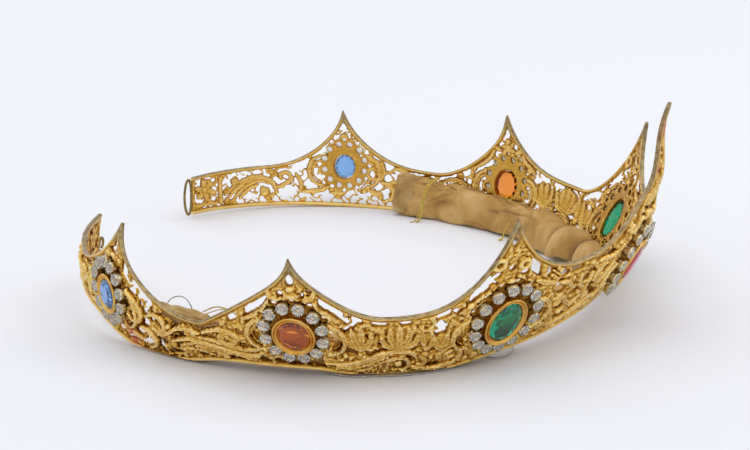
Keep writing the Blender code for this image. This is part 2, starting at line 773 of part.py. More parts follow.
def main():
    """Clear the scene and build every piece of the tiara."""
    for obj in list(bpy.data.objects):
        bpy.data.objects.remove(obj)
    collection = bpy.data.collections.new("tiara")
    guides = bpy.data.collections.new("guides")
    for group in (collection, guides):
        bpy.context.scene.collection.children.link(group)
    gilt = make_material("gilt_brass", (0.43, 0.25, 0.05), 0.35, 1.0)
    clear = make_material("clear_stone", (0.75, 0.76, 0.78), 0.1, 0.0)
    leather = make_material("leather", (0.43, 0.27, 0.08), 0.8, 0.0)
    make_band(collection, gilt)
    for row in POINTS:
        colour = make_material("stone_" + row[0], row[-1], 0.05, 0.0)
        make_stone(row, collection, colour)
        make_setting(row, collection, gilt)
        make_halo(row, guides, collection, clear)
    make_padding(collection, leather)
    make_end_loop(collection, gilt)
    make_end_hook(collection, gilt)


main()
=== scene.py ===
"""Dresses a pierced gilt tiara: chased sheet, paste stones, worn leather lining, thread and wire.

Every piece is drawn on the flat strip that the band was cut from (station along the rim, depth
through the metal, height up the wall, all in millimetres) and bent round the head by Form.
"""

from __future__ import annotations

import json
import logging
from dataclasses import dataclass, field
from enum import Enum
from math import cos, pi, radians, sin
from typing import Callable, Sequence

import bmesh
import bpy
import numpy as np
from mathutils import Matrix, Vector

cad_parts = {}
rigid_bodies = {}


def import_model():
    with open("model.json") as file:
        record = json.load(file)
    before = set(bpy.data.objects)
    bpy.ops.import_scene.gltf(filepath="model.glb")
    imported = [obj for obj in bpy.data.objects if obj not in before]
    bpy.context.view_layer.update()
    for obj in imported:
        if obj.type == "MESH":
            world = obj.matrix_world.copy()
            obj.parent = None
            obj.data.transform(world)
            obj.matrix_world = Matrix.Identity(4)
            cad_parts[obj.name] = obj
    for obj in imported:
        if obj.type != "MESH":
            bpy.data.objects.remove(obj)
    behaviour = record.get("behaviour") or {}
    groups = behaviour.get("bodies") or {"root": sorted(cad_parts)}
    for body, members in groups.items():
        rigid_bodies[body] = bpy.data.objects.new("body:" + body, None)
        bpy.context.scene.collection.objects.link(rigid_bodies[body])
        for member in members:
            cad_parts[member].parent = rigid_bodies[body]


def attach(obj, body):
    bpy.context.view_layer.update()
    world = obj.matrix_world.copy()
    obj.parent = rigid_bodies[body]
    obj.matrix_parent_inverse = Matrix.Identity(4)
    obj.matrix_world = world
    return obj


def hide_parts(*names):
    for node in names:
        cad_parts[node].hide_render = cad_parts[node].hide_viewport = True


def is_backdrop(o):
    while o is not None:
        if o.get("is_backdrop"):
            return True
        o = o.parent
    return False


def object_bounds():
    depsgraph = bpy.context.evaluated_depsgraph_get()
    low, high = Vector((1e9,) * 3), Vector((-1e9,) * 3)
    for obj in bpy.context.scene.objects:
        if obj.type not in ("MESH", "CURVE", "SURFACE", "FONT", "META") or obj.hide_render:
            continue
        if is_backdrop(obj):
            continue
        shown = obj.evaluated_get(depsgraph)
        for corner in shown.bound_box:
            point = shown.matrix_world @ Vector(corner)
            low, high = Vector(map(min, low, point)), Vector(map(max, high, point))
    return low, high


log = logging.getLogger("tiara")
Array = np.ndarray
Mesh = bpy.types.Mesh
Material = bpy.types.Material
NodeTree = bpy.types.NodeTree

MM = 0.001
BODY = "root"
NEAR_END = -228.5
FAR_END = 222.5
RIM_SHIFT = (-2.57, -71.22)
LEAN_HEIGHT = 32.0
END_HEIGHT = 13.6
SEED = 11
CHART_TOP = 68.5
RIM_HEIGHT = 0.9
# Lobes along a leaf's edge: spacing, and depth as a share of its width. Its vein likewise.
LOBE_SPACING = 1.7
LOBE_DEPTH = 0.1
VEIN_DEPTH = 0.34
VEIN_WIDTH = 0.28
CLEAR_RADIUS = 1.84
FAR_AWAY = 1e9
# The halo sits a little above its stone, and is a little lower than its solid.
HALO_RAISE = 0.8
HALO_SQUEEZE = 0.96

# Station along the rim, bend in radians per 100 mm, lean of the wall in degrees at the rim and
# LEAN_HEIGHT above it.
BEND = (
    (-225, 1.72, 1.5, -35.0), (-170, 1.28, 20.0, -23.5), (-110, 1.05, 33.0, 11.5),
    (-55, 1.32, 36.0, 13.0), (0, 1.44, 45.5, 12.5), (55, 1.09, 41.0, 16.0), (110, 0.85, 29.5, -6.5),
    (170, 1.26, 19.5, -9.5), (225, 1.92, 2.5, -28.0),
)
# Station and how far the worn rim stands off the surface.
LIFT = (
    (-235, 9.5), (-185, 5), (-158, 0), (-144, 0), (-125, 1.8), (-100, 1.4), (-82, 0), (-70, 0),
    (-45, 3.4), (0, 7.8), (45, 4.2), (70, 0), (145, 0), (216, 1.7),
)
# Station and how far the worn lower rim is bent up from the strip's foot.
RIM_RISE = (
    (-228, 0), (-196, 0.8), (-176, 1.6), (-160, 0.8), (-150, 0.3), (-140, 0.7), (-118, 1.6),
    (-104, 1.6), (-92, 0.9), (-80, 0), (-68, 0.2), (-58, 1), (-44, 0.8), (-30, 1.2), (-15, 1.2), (0, 0),
    (222, 0),
)


class StoneColour(Enum):
    """The paste colours of the main stones, as sRGB hex."""

    BLUE = "#90C2F8"
    ORANGE = "#F28E24"
    GREEN = "#10AC80"
    RED = "#D02450"


@dataclass(frozen=True)
class Peak:
    """One point of the tiara with its stone and its ring of clear stones."""

    name: str
    station: float
    tip: float
    stone_height: float
    half_width: float
    half_height: float
    halo_wide: float
    halo_high: float
    clear_stones: int
    colour: StoneColour

    def beyond_halo(self, s: Array, h: Array, margin: float) -> Array:
        """Measure roughly how far places lie outside the halo.

        Args:
            s: Stations.
            h: Heights.
            margin: How much the halo is widened first.

        Returns:
            Distances in millimetres, below zero inside.
        """
        wide = self.halo_wide + margin
        high = self.halo_high + margin
        around = np.hypot((s - self.station) / wide, (h - self.stone_height - HALO_RAISE) / high)
        return (around - 1) * min(wide, high)


PEAKS = (
    Peak("blue_near", -167.5, 36.0, 14.8, 3.6, 4.3, 7.2, 8.0, 12, StoneColour.BLUE),
    Peak("orange_near", -104.0, 40.4, 16.2, 4.3, 5.3, 7.6, 9.1, 12, StoneColour.ORANGE),
    Peak("green_near", -50.0, 48.5, 15.8, 4.5, 6.8, 8.5, 10.5, 14, StoneColour.GREEN),
    Peak("red_front", 0.0, 67.4, 15.9, 5.2, 6.6, 9.8, 11.2, 16, StoneColour.RED),
    Peak("green_far", 49.6, 49.1, 15.4, 4.5, 6.8, 8.5, 10.5, 14, StoneColour.GREEN),
    Peak("orange_far", 104.2, 40.7, 15.4, 4.3, 5.3, 7.6, 9.1, 12, StoneColour.ORANGE),
    Peak("blue_far", 166.0, 35.9, 14.4, 3.6, 4.3, 7.2, 8.0, 12, StoneColour.BLUE),
)
# Upper edge beside a point: index of the point, side, length to the lowest place, its height,
# power of the slope, share of the spike and power of the spike.
FLANKS = (
    (0, -1, 34.0, 14.6, 2.5, 0.2, 16), (0, 1, 36.5, 15.3, 1.5, 0.2, 16),
    (1, -1, 27.0, 15.3, 1.15, 0.2, 16), (1, 1, 22.9, 23.1, 1.8, 0.2, 16),
    (2, -1, 31.1, 23.1, 2.8, 0.2, 14), (2, 1, 24.5, 27.6, 2.7, 0.2, 9),
    (3, -1, 25.5, 27.6, 2.0, 0.52, 9), (3, 1, 25.5, 26.8, 2.0, 0.52, 9),
    (4, -1, 24.1, 26.8, 3.3, 0.2, 9), (4, 1, 23.0, 22.2, 1.7, 0.2, 14),
    (5, -1, 31.6, 22.2, 3.8, 0.2, 16), (5, 1, 28.8, 15.2, 1.85, 0.2, 16),
    (6, -1, 33.0, 15.2, 2.8, 0.2, 16), (6, 1, 30.0, 14.6, 2.5, 0.2, 16),
)
# The chart of the ornament runs from the front point to either end. These are its points and
# end, and the same places on the near and the far side.
CHART_STOPS = (0.0, 49.6, 104.2, 166.0, 222.5)
NEAR_STOPS = (0.0, 50.0, 104.0, 167.5, 228.5)


class GapKind(Enum):
    """Shapes of the gaps that the maker sawed out of the sheet."""

    OVAL = "oval"
    MOON = "moon"
    RIM = "rim"


# Gaps on the chart. OVAL: station, height, its own length and height, turn. MOON: station,
# height, radius, thickness, first and last angle. RIM, which follows the upper edge: first and
# last station, drop below the rim, depth at each end.
GAPS = {
    GapKind.OVAL: (
        (14.2, 8.4, 2.6, 3.4, 10), (14.4, 17.2, 2, 3.6, 8), (18, 12.6, 3.2, 2.4, 20),
        (17.6, 20.8, 3, 2.6, -15), (21.8, 16.8, 3.4, 2, 10), (21.5, 8.6, 3.8, 1.9, 0),
        (25, 12.4, 3.2, 2.2, -20), (25.2, 20.8, 2.4, 2.2, 0), (28.4, 17.2, 3.4, 2.2, 15),
        (30, 8.6, 4, 1.9, 5), (32, 13.2, 2.8, 2.2, 0), (33.4, 20, 3.2, 2.2, 15),
        (37.4, 13.2, 2.2, 3.4, -8), (36.2, 5.2, 3.4, 1.6, 0), (28.4, 4.4, 4, 1.5, 0),
        (20.5, 4.4, 4, 1.5, 0), (0, 38.4, 1.7, 3.6, 0), (3.6, 33.4, 1.7, 2.8, 25),
        (46, 30.6, 2.2, 1.7, 15), (53.8, 31.6, 2.6, 1.7, -25), (49.8, 33, 1.4, 1.8, 0),
        (60.6, 14.3, 1.8, 2.6, 0), (61.8, 9.6, 3.2, 2.2, 25), (60.8, 5, 3.4, 1.6, 0),
        (67.4, 10.6, 4, 2.4, -25), (67.6, 16.6, 4.8, 3, -8), (72.2, 13.8, 3.6, 1.8, 18),
        (74.4, 7.8, 3.2, 1.8, 20), (68.4, 4.6, 3.8, 1.5, 0), (79.2, 10.4, 4.4, 2, 8),
        (81, 14.4, 3, 1.5, 8), (84.6, 10.6, 2.4, 2.2, -20), (85.8, 15.6, 1.8, 2.8, 0),
        (77.2, 4.6, 4, 1.5, 0), (85.6, 4.6, 4, 1.5, 0), (89.6, 10.6, 2.8, 3, 0),
        (101.6, 29.2, 1.3, 1.5, 0), (106.8, 29.2, 1.3, 1.5, 0),
        *((s, 4.5, 3.4, 2.4, 0) for s in (95.2, 99.8, 104.4, 109.0, 113.6)), (118.9, 9, 2.2, 2, 10),
        (119.2, 14.2, 2, 1.8, 0), (121.8, 4.2, 4.2, 1.5, 6), (130.4, 4, 4.2, 1.7, 0),
        (133.6, 6.4, 1.9, 1.7, 0), (138, 11.7, 3, 1.7, -20), (140.6, 4.2, 5, 1.4, -4),
        (145.4, 7, 3.6, 2, 15), (145.8, 12.8, 2.2, 2, 40), (150.4, 11.4, 2.4, 2.8, 40),
        (150.6, 4.6, 2.2, 2.6, 0), (153.6, 7.6, 2.6, 1.8, -20), (154.8, 3.8, 2.4, 1.4, 0),
        (159.4, 4.3, 3.4, 1.4, 0), (172.8, 4.3, 3.2, 1.6, 0), (177.4, 7.2, 4.6, 1.9, -20),
        (179.4, 3.7, 3.2, 1.3, 0), (185.4, 5.6, 4.4, 3.2, 30), (199.4, 4, 3.8, 2, 10),
        (193.4, 11.2, 2.6, 1.3, 15), (201.4, 11, 1.8, 1.2, -30), (206.6, 4.4, 4, 2.2, 0),
        (213.6, 11.2, 1.9, 1.6, 0), (219.4, 11.2, 1.9, 1.6, 0), (213.6, 4.4, 1.9, 1.7, 0),
        (219.4, 4.4, 1.9, 1.7, 0),
    ),
    GapKind.MOON: (
        (187.2, 10.2, 2.7, 1.4, 50, 175), (194.6, 5.4, 2.7, 1.3, 20, 200),
        (205.3, 9.6, 2.3, 1.1, 110, 250), (205.3, 9.6, 2.3, 1.1, -70, 70),
    ),
    GapKind.RIM: (
        (5.2, 9.4, 0.5, 2.4, 2.4), (11.4, 15.4, 0.5, 2.2, 1.6), (18.6, 22.6, 0.5, 1.6, 1.3),
        (27.2, 31.4, 0.5, 1.3, 1.6), (35.2, 39.4, 0.5, 1.8, 2.4), (41.4, 44.6, 0.5, 2.6, 2.2),
        (55.2, 60.2, 0.5, 2.4, 2.2), (64.6, 68.2, 0.5, 1.8, 1.6), (74.4, 77.4, 0.5, 1.2, 1.4),
        (80.6, 84.4, 0.5, 1.3, 1.2), (86.8, 89.4, 0.5, 1.5, 1.8), (91.4, 97.4, 0.6, 1.7, 3),
        (110.2, 116.6, 0.6, 3, 1.8), (119, 121.8, 0.5, 1.9, 1.6), (124.4, 131.4, 0.5, 1.4, 1.2),
        (137.6, 142.6, 0.5, 1.2, 1.5), (146.8, 151.4, 0.5, 1.7, 2.4), (153.4, 156, 0.5, 2, 2.2),
        (157.4, 160.8, 0.5, 2.4, 3.2), (171.6, 177.2, 0.5, 3, 1.8), (180, 184.2, 0.4, 1.3, 1.1),
    ),
}
# Chased strokes on the chart: rise, radius, then the stroke's places.
STROKES = (
    (1.1, 0.75, (130.2, 12.3), (127.5, 13.4), (123.6, 13.9), (120.4, 12.2), (121.4, 9.8), (124, 9.3)),
    (1, 0.55, (124, 9.3), (125.6, 10.9), (124.4, 12.4), (122.9, 11.9), (123.2, 11)),
    (1.3, 0.7, (141, 8.3), (135, 9.6), (128.6, 7.9), (121.6, 6.2), (115.8, 6), (113.9, 7.3)),
    (1.1, 0.55, (138, 7.3), (132, 8.4), (126.8, 6.5), (120.4, 4.9), (117, 4.6)),
    (1, 0.55, (134, 7), (130, 6.8), (126.6, 5), (124.2, 3.4)),
    (1, 0.5, (136, 6), (132, 5.6), (128.6, 3.6)),
    (1, 0.6, (134, 10.6), (128, 9.6), (121.6, 8.1), (116.4, 7.9), (113.4, 9.6)),
    (1.1, 0.65, (145.8, 9), (142.2, 10.3), (138.6, 12.4), (134.4, 12.6), (131.6, 11.4)),
    (1.1, 0.7, (149.6, 13.6), (147, 15), (143.8, 14.2), (143.2, 11.4), (145.2, 9.6), (147.8, 10.4)),
    (1.1, 0.7, (152.6, 9.6), (150, 9), (148, 6.6), (148.6, 4.2), (151.2, 3)),
    (1, 0.6, (157.6, 7), (154.8, 5.6), (152.6, 5.6)),
    (1.1, 0.8, (160.6, 20), (157, 18.2), (153.4, 15.8), (152, 13.2), (153.6, 10.8), (156.6, 10.6)),
    (0.9, 0.55, (156.6, 10.6), (158, 12.6), (156.4, 14.4), (155.2, 13.2)),
    (1.1, 0.85, (87.6, 12.2), (90.8, 14.6), (91.8, 17.4)),
    (1.1, 0.85, (87.4, 12.2), (88.9, 15.6), (89.6, 19)),
    (1.1, 0.85, (87.2, 12.2), (87, 16), (87.2, 19.8)),
    (1.1, 0.85, (87, 12.2), (85, 15), (84.6, 18.2)),
    (1.2, 0.85, (77.4, 12.4), (73.6, 14.2), (72.8, 17)),
    (1.2, 0.9, (77.4, 12.4), (75.2, 15.8), (75, 19.4)),
    (1.3, 0.95, (77.4, 12.4), (77.4, 16.6), (77.4, 20.6)),
    (1.2, 0.9, (77.4, 12.4), (79.5, 15.8), (79.8, 19.4)),
    (1.2, 0.85, (77.4, 12.4), (81, 14), (82, 16.8)),
    (1.1, 0.8, (70.4, 11.4), (68.6, 14.6), (69.6, 18.6)),
    (1.1, 0.8, (70.4, 11.4), (71.4, 15.4), (72, 19)),
    (1.1, 0.8, (65.8, 10), (63.4, 12.6), (63, 15.6)),
    (1.1, 0.8, (65.8, 10), (65.2, 13.6), (65, 17)),
    (1.1, 0.8, (65.8, 10), (67.6, 12.8), (68.4, 15.4)),
    (1.3, 0.8, (96.6, 5.2), (91.2, 5.6), (86.6, 7.6), (82.6, 10.2), (78, 11.5), (74.2, 10.6), (72.8, 8.8)),
    (1.1, 0.55, (94, 3.9), (89.6, 4.2), (85.6, 6), (82.2, 8.6), (78.6, 10), (75.6, 9.4)),
    (1, 0.5, (88.6, 3), (85.2, 4.3), (82.4, 6.6), (79.6, 8.4)),
    (1.1, 0.65, (80.4, 5), (79.8, 7.6), (77.2, 8.8), (74.8, 7.4), (74.6, 4.8), (76.2, 3.2)),
    (1.2, 0.75, (73.4, 4.6), (69.4, 3.4), (65.4, 3.4), (61.8, 4.6), (60.4, 7.4), (62.2, 9.6)),
    (1.1, 0.6, (62.2, 9.6), (64.6, 8.6), (64, 6.6), (62.4, 7)),
    (1.1, 0.6, (71.8, 8.6), (70.2, 7), (70.8, 5.2), (72.2, 5.6)),
    (1.1, 0.75, (98.4, 26.8), (97, 24.6), (94.6, 23.2), (93.2, 21.6)),
    (1.1, 0.7, (110, 26.8), (111.4, 24), (114.6, 21.2), (117.4, 19.4)),
    (1, 0.65, (101, 27.2), (99, 28.6), (98.2, 30.6)),
    (1, 0.65, (107.4, 27.2), (109.2, 28.2), (109.8, 29.8)),
    (1.2, 0.75, (36.6, 8.8), (33, 6.6), (28.4, 6.6), (24.6, 8.8), (20.4, 10.8), (16.4, 10.2), (14.6, 12.6)),
    (1, 0.55, (34.8, 7), (31, 5.2), (26.8, 5.8), (23.2, 7.2)),
    (1.2, 0.7, (35.4, 17.6), (32, 16.8), (30.2, 14.4), (28, 12.8), (25.4, 14.6), (26.8, 16.8)),
    (1.2, 0.7, (14.4, 21.8), (16, 18.6), (19, 16.8), (21.2, 18.8), (20.2, 21.4), (17.6, 22.6)),
    (1.1, 0.6, (23.4, 13.8), (23.6, 17.6), (22.8, 21.8)),
    (1.1, 0.6, (25.4, 17.6), (27.2, 20.2), (27.6, 23.2)),
    (1.1, 0.6, (29.6, 19.4), (31.6, 21.8), (34.6, 23)),
    (1.1, 0.7, (1.2, 30.6), (3.4, 31.2), (5.4, 29.8), (6.8, 27.8)),
    (1, 0.6, (1.4, 36), (1.7, 39.6), (0.9, 42.6)),
    (1, 0.6, (3, 35.4), (2.3, 38.6), (2, 41.8)),
    (1.1, 0.7, (11.6, 26), (13.6, 24.8), (16, 24.2), (18.6, 24.6)),
    (1.1, 0.7, (42.2, 26.4), (39.4, 24.8), (36.2, 24)),
    (1, 0.6, (56.8, 27), (59.4, 24.8), (62.4, 22.6)),
    (1.3, 0.75, (190, 4.8), (191.6, 8.6), (196, 10.6), (201, 9.4), (205, 6.6), (208.4, 3.4)),
    (1.1, 0.55, (192.6, 8), (196.4, 9.2), (200.4, 8), (203.8, 5.4), (206.2, 3.2)),
    (1, 0.5, (196.6, 7.8), (199.6, 6.8), (202.2, 4.8), (203.6, 3.2)),
    (1, 0.5, (198, 11.3), (202.4, 9.8), (206, 7.6), (209.2, 5)),
    (1.1, 0.65, (189.8, 6.6), (187.2, 7.6), (184.8, 9.8), (186, 12), (188.6, 11.4), (188.2, 9.6)),
    (1, 0.6, (181.8, 5), (181.4, 8.2), (183, 11.6)),
    (1, 0.6, (171.4, 7), (174.8, 5.6), (178, 5.4), (181, 5)),
    (0.9, 0.6, (210.8, 2.6), (210.8, 7.6), (210.8, 12)),
    (0.8, 0.45, (212.2, 2.7), (217.2, 2.7), (222, 2.7)),
)
# Berries on the chart: station, height, radius.
BERRIES = (
    (137.4, 5.6, 0.8), (133, 11.6, 1.1), (141.6, 12.6, 0.9), (95.2, 22.4, 1.3), (77.3, 6.2, 1.2),
    (113, 19.2, 1.2), (104.2, 28.4, 1.5), (102.6, 26.2, 0.9), (105.8, 26.2, 0.9), (104.2, 31, 1.1),
    (49.6, 28.6, 1.3), (59.8, 24.4, 1.2), (194.6, 5.4, 1.6), (205.3, 9.6, 1.4), (210.8, 3.6, 1.1),
    (210.8, 11.4, 0.9), (0, 31.6, 1.5), (6.4, 25.8, 1), (24.6, 6.4, 1.2), (31.2, 11, 1.1),
    (12.8, 12.8, 1.1), (39, 18.6, 1.2), (166, 25.4, 1.4), (164.2, 23.2, 0.8), (167.8, 23.2, 0.8),
    (158.6, 6.2, 1), (173.4, 6.2, 1),
)
# Marks of old red paint: station, height, size.
STAINS = ((1.2, 58.5, 2.2), (-159.5, 4.6, 2.0), (-1.0, 46.0, 0.9))
# Low rounded beds under the leaf fans: station, height, radius.
LEAF_BEDS = (
    (77.4, 16.4, 4.3), (88.6, 15.6, 3.4), (66, 13.4, 3.4), (70.8, 15.6, 2.6), (130, 7, 2.6),
)
# Rings with an open middle, and flowers: station, height, radius.
EYELETS = ((53.4, 35.2, 1.9), (46.6, 33.4, 1.7), (8.8, 30.0, 1.6))
FLOWERS = (
    (137.4, 5.6, 2), (60.4, 21.4, 2), (217, 7.9, 3.6), (36.6, 27, 1.9), (104.2, 28.4, 2.5),
)


def unit(value: Array) -> Array:
    """Hold values between 0 and 1."""
    return np.clip(value, 0, 1)


def bell(away: Array, width: float) -> Array:
    """Give 1 where nothing lies between, falling off smoothly over a width."""
    return np.exp(-((away / width) ** 2))


def dome(across: Array) -> Array:
    """Give the height of a dome: 1 in its middle, 0 at 1 and beyond."""
    return np.sqrt(unit(1 - across**2))


def squared(wave: Array, power: float) -> Array:
    """Push the values of a sine or cosine outwards, so that a section of them is squarer."""
    return np.sign(wave) * np.abs(wave) ** power


def full_turn(steps: int) -> Array:
    """Divide a turn evenly."""
    return np.arange(steps) * 2 * pi / steps


def smooth_curve(knots: Sequence[tuple[float, float]]) -> Callable:
    """Fit a curve through the knots that never swings past them.

    Args:
        knots: Place along the strip, rising, and the value there.

    Returns:
        A function of an array of places.
    """
    x, y = np.array(knots, float).T
    width = np.diff(x)
    slope = np.diff(y) / width
    tangent = np.zeros_like(y)
    for i in range(1, len(x) - 1):
        if slope[i - 1] * slope[i] > 0:
            before = 2 * width[i] + width[i - 1]
            after = width[i] + 2 * width[i - 1]
            tangent[i] = (before + after) / (before / slope[i - 1] + after / slope[i])
    tangent[0] = slope[0]
    tangent[-1] = slope[-1]

    def curve(at: Array) -> Array:
        """Give the curve's values.

        Args:
            at: Places along the strip.

        Returns:
            The value at each.
        """
        at = np.clip(at, x[0], x[-1])
        i = np.clip(np.searchsorted(x, at) - 1, 0, len(width) - 1)
        t = (at - x[i]) / width[i]
        rise = y[i] * (1 + 2 * t) * (1 - t) ** 2 + y[i + 1] * t * t * (3 - 2 * t)
        return rise + width[i] * (tangent[i] * t * (1 - t) ** 2 - tangent[i + 1] * t * t * (1 - t))

    return curve


class Form:
    """The bent form of the strip: turns flat places into places round the head."""

    def __init__(self) -> None:
        """Sum the bend up along the strip."""
        self.low = smooth_curve([(row[0], radians(row[2])) for row in BEND])
        self.high = smooth_curve([(row[0], radians(row[3])) for row in BEND])
        self.lift = smooth_curve(LIFT)
        self.s = np.linspace(-260, 260, 2081)
        bend = smooth_curve([(row[0], row[1] / 100) for row in BEND])(self.s)
        self.turn = self.running_sum(bend)
        self.x = self.running_sum(np.cos(self.turn))
        self.y = self.running_sum(np.sin(self.turn))

    def running_sum(self, rate: Array) -> Array:
        """Add a rate up along the strip, from nothing at its middle."""
        total = np.concatenate([[0], np.cumsum((rate[1:] + rate[:-1]) / 2 * np.diff(self.s))])
        return total - np.interp(0, self.s, total)

    def place(self, length: Array, depth: Array, height: Array) -> Array:
        """Turn flat places into world places.

        Args:
            length: Stations along the rim in millimetres.
            depth: Depths outward through the metal.
            height: Heights up the wall.

        Returns:
            World places in metres, one row each.
        """
        turn = np.interp(length, self.s, self.turn)
        low = self.low(length)
        high = self.high(length)
        rise = np.clip(height, 0, LEAN_HEIGHT)
        rate = (high - low) / LEAN_HEIGHT
        rate = np.where(np.abs(rate) < 1e-6, 1e-6, rate)
        lean = low + rate * rise
        above = height - rise
        out = (np.cos(low) - np.cos(lean)) / rate + above * np.sin(lean) + depth * np.cos(lean)
        up = (np.sin(lean) - np.sin(low)) / rate + above * np.cos(lean) - depth * np.sin(lean)
        up = np.maximum(up + self.lift(length), np.clip(height, 0, 1.05) * 0.9)
        x = np.interp(length, self.s, self.x) + np.sin(turn) * out + RIM_SHIFT[0]
        y = np.interp(length, self.s, self.y) - np.cos(turn) * out + RIM_SHIFT[1]
        return np.stack([x, y, up], -1) * MM

    def frame(self, length: float, height: float) -> Matrix:
        """Find the flat strip's own axes at a place.

        Args:
            length: Station along the rim.
            height: Height up the wall.

        Returns:
            A matrix from millimetres about the place to the world.
        """
        step = 0.5
        at, beside, outward, above = (
            Vector(self.place(length + a, b, height + c))
            for a, b, c in ((0, 0.0, 0), (step, 0.0, 0), (0, step, 0), (0, 0.0, step))
        )
        matrix = Matrix(((beside - at), (outward - at), (above - at))).transposed() * (1 / step)
        matrix = matrix.to_4x4()
        matrix.translation = at
        return matrix

    def beside(self, length: Array, inward: Array, up: Array) -> Array:
        """Place things that lie level with the surface.

        Args:
            length: Stations along the rim.
            inward: Distances inward from the rim line.
            up: Heights above the surface.

        Returns:
            World places in metres, one row each.
        """
        turn = np.interp(length, self.s, self.turn)
        x = np.interp(length, self.s, self.x) - np.sin(turn) * inward + RIM_SHIFT[0]
        y = np.interp(length, self.s, self.y) + np.cos(turn) * inward + RIM_SHIFT[1]
        return np.stack([x, y, up + 0 * turn], -1) * MM


FORM = Form()


def top_height(s: Array) -> Array:
    """Work out the upper edge.

    Args:
        s: Stations along the rim.

    Returns:
        The height of the upper edge at each.
    """
    s = np.asarray(s, float)
    height = np.full(s.shape, END_HEIGHT)
    for point, side, length, low, power, spike, spike_power in FLANKS:
        peak = PEAKS[point]
        t = (s - peak.station) * side / length
        inside = (t >= 0) & (t <= 1)
        rest = 1 - unit(t)
        rise = (1 - spike) * rest**power + spike * rest**spike_power
        height = np.where(inside, low + (peak.tip - low) * rise, height)
    for flank, end in ((FLANKS[0], -NEAR_END), (FLANKS[-1], FAR_END)):
        side = flank[1]
        start = side * PEAKS[flank[0]].station + flank[2]
        share = unit((side * s - start) / (end - start))
        height = np.where(side * s > start, flank[3] + (END_HEIGHT - flank[3]) * share, height)
    return height


def from_chart(s: float, side: int) -> float:
    """Give the station of a place on the ornament's chart, on one side of the tiara."""
    return s if side > 0 else -float(np.interp(s, CHART_STOPS, NEAR_STOPS))


def linear(code: str) -> tuple[float, float, float, float]:
    """Turn an sRGB colour into a linear one.

    Args:
        code: The colour as a hex code.

    Returns:
        Linear red, green, blue and alpha.
    """
    parts = [int(code[i : i + 2], 16) / 255 for i in (1, 3, 5)]
    red, green, blue = (p / 12.92 if p <= 0.04045 else ((p + 0.055) / 1.055) ** 2.4 for p in parts)
    return red, green, blue, 1.0


def set_inputs(node: bpy.types.Node, inputs: dict) -> None:
    """Set or link a node's inputs.

    Args:
        node: The node.
        inputs: Values or sockets by input name or number.
    """
    for key, value in inputs.items():
        if isinstance(value, bpy.types.NodeSocket):
            node.id_data.links.new(value, node.inputs[key])
        else:
            node.inputs[key].default_value = value


def add_node(
    tree: NodeTree, kind: str, inputs: dict | None = None, **settings: object
) -> bpy.types.Node:
    """Add a node with its settings and links.

    Args:
        tree: The node tree.
        kind: The node's type.
        inputs: Values or sockets by input name or number.
        settings: The node's own properties, and as stops the places and hex colours of its ramp.

    Returns:
        The new node.
    """
    node = tree.nodes.new(kind)
    for k, (at, code) in enumerate(settings.pop("stops", ())):
        elements = node.color_ramp.elements
        element = elements[k] if k < len(elements) else elements.new(at)
        element.position = at
        element.color = linear(code)
    for name, value in settings.items():
        setattr(node, name, value)
    set_inputs(node, inputs or {})
    return node


def per_metre(size_mm: float) -> float:
    """Turn the real size of a pattern into a texture's scale."""
    return 1 / (size_mm * MM)


def new_material(name: str) -> tuple[Material, NodeTree, bpy.types.Node]:
    """Make an empty node material.

    Args:
        name: The material's name.

    Returns:
        The material, its tree and its shader.
    """
    material = bpy.data.materials.new(name)
    material.use_nodes = True
    tree = material.node_tree
    return material, tree, tree.nodes["Principled BSDF"]


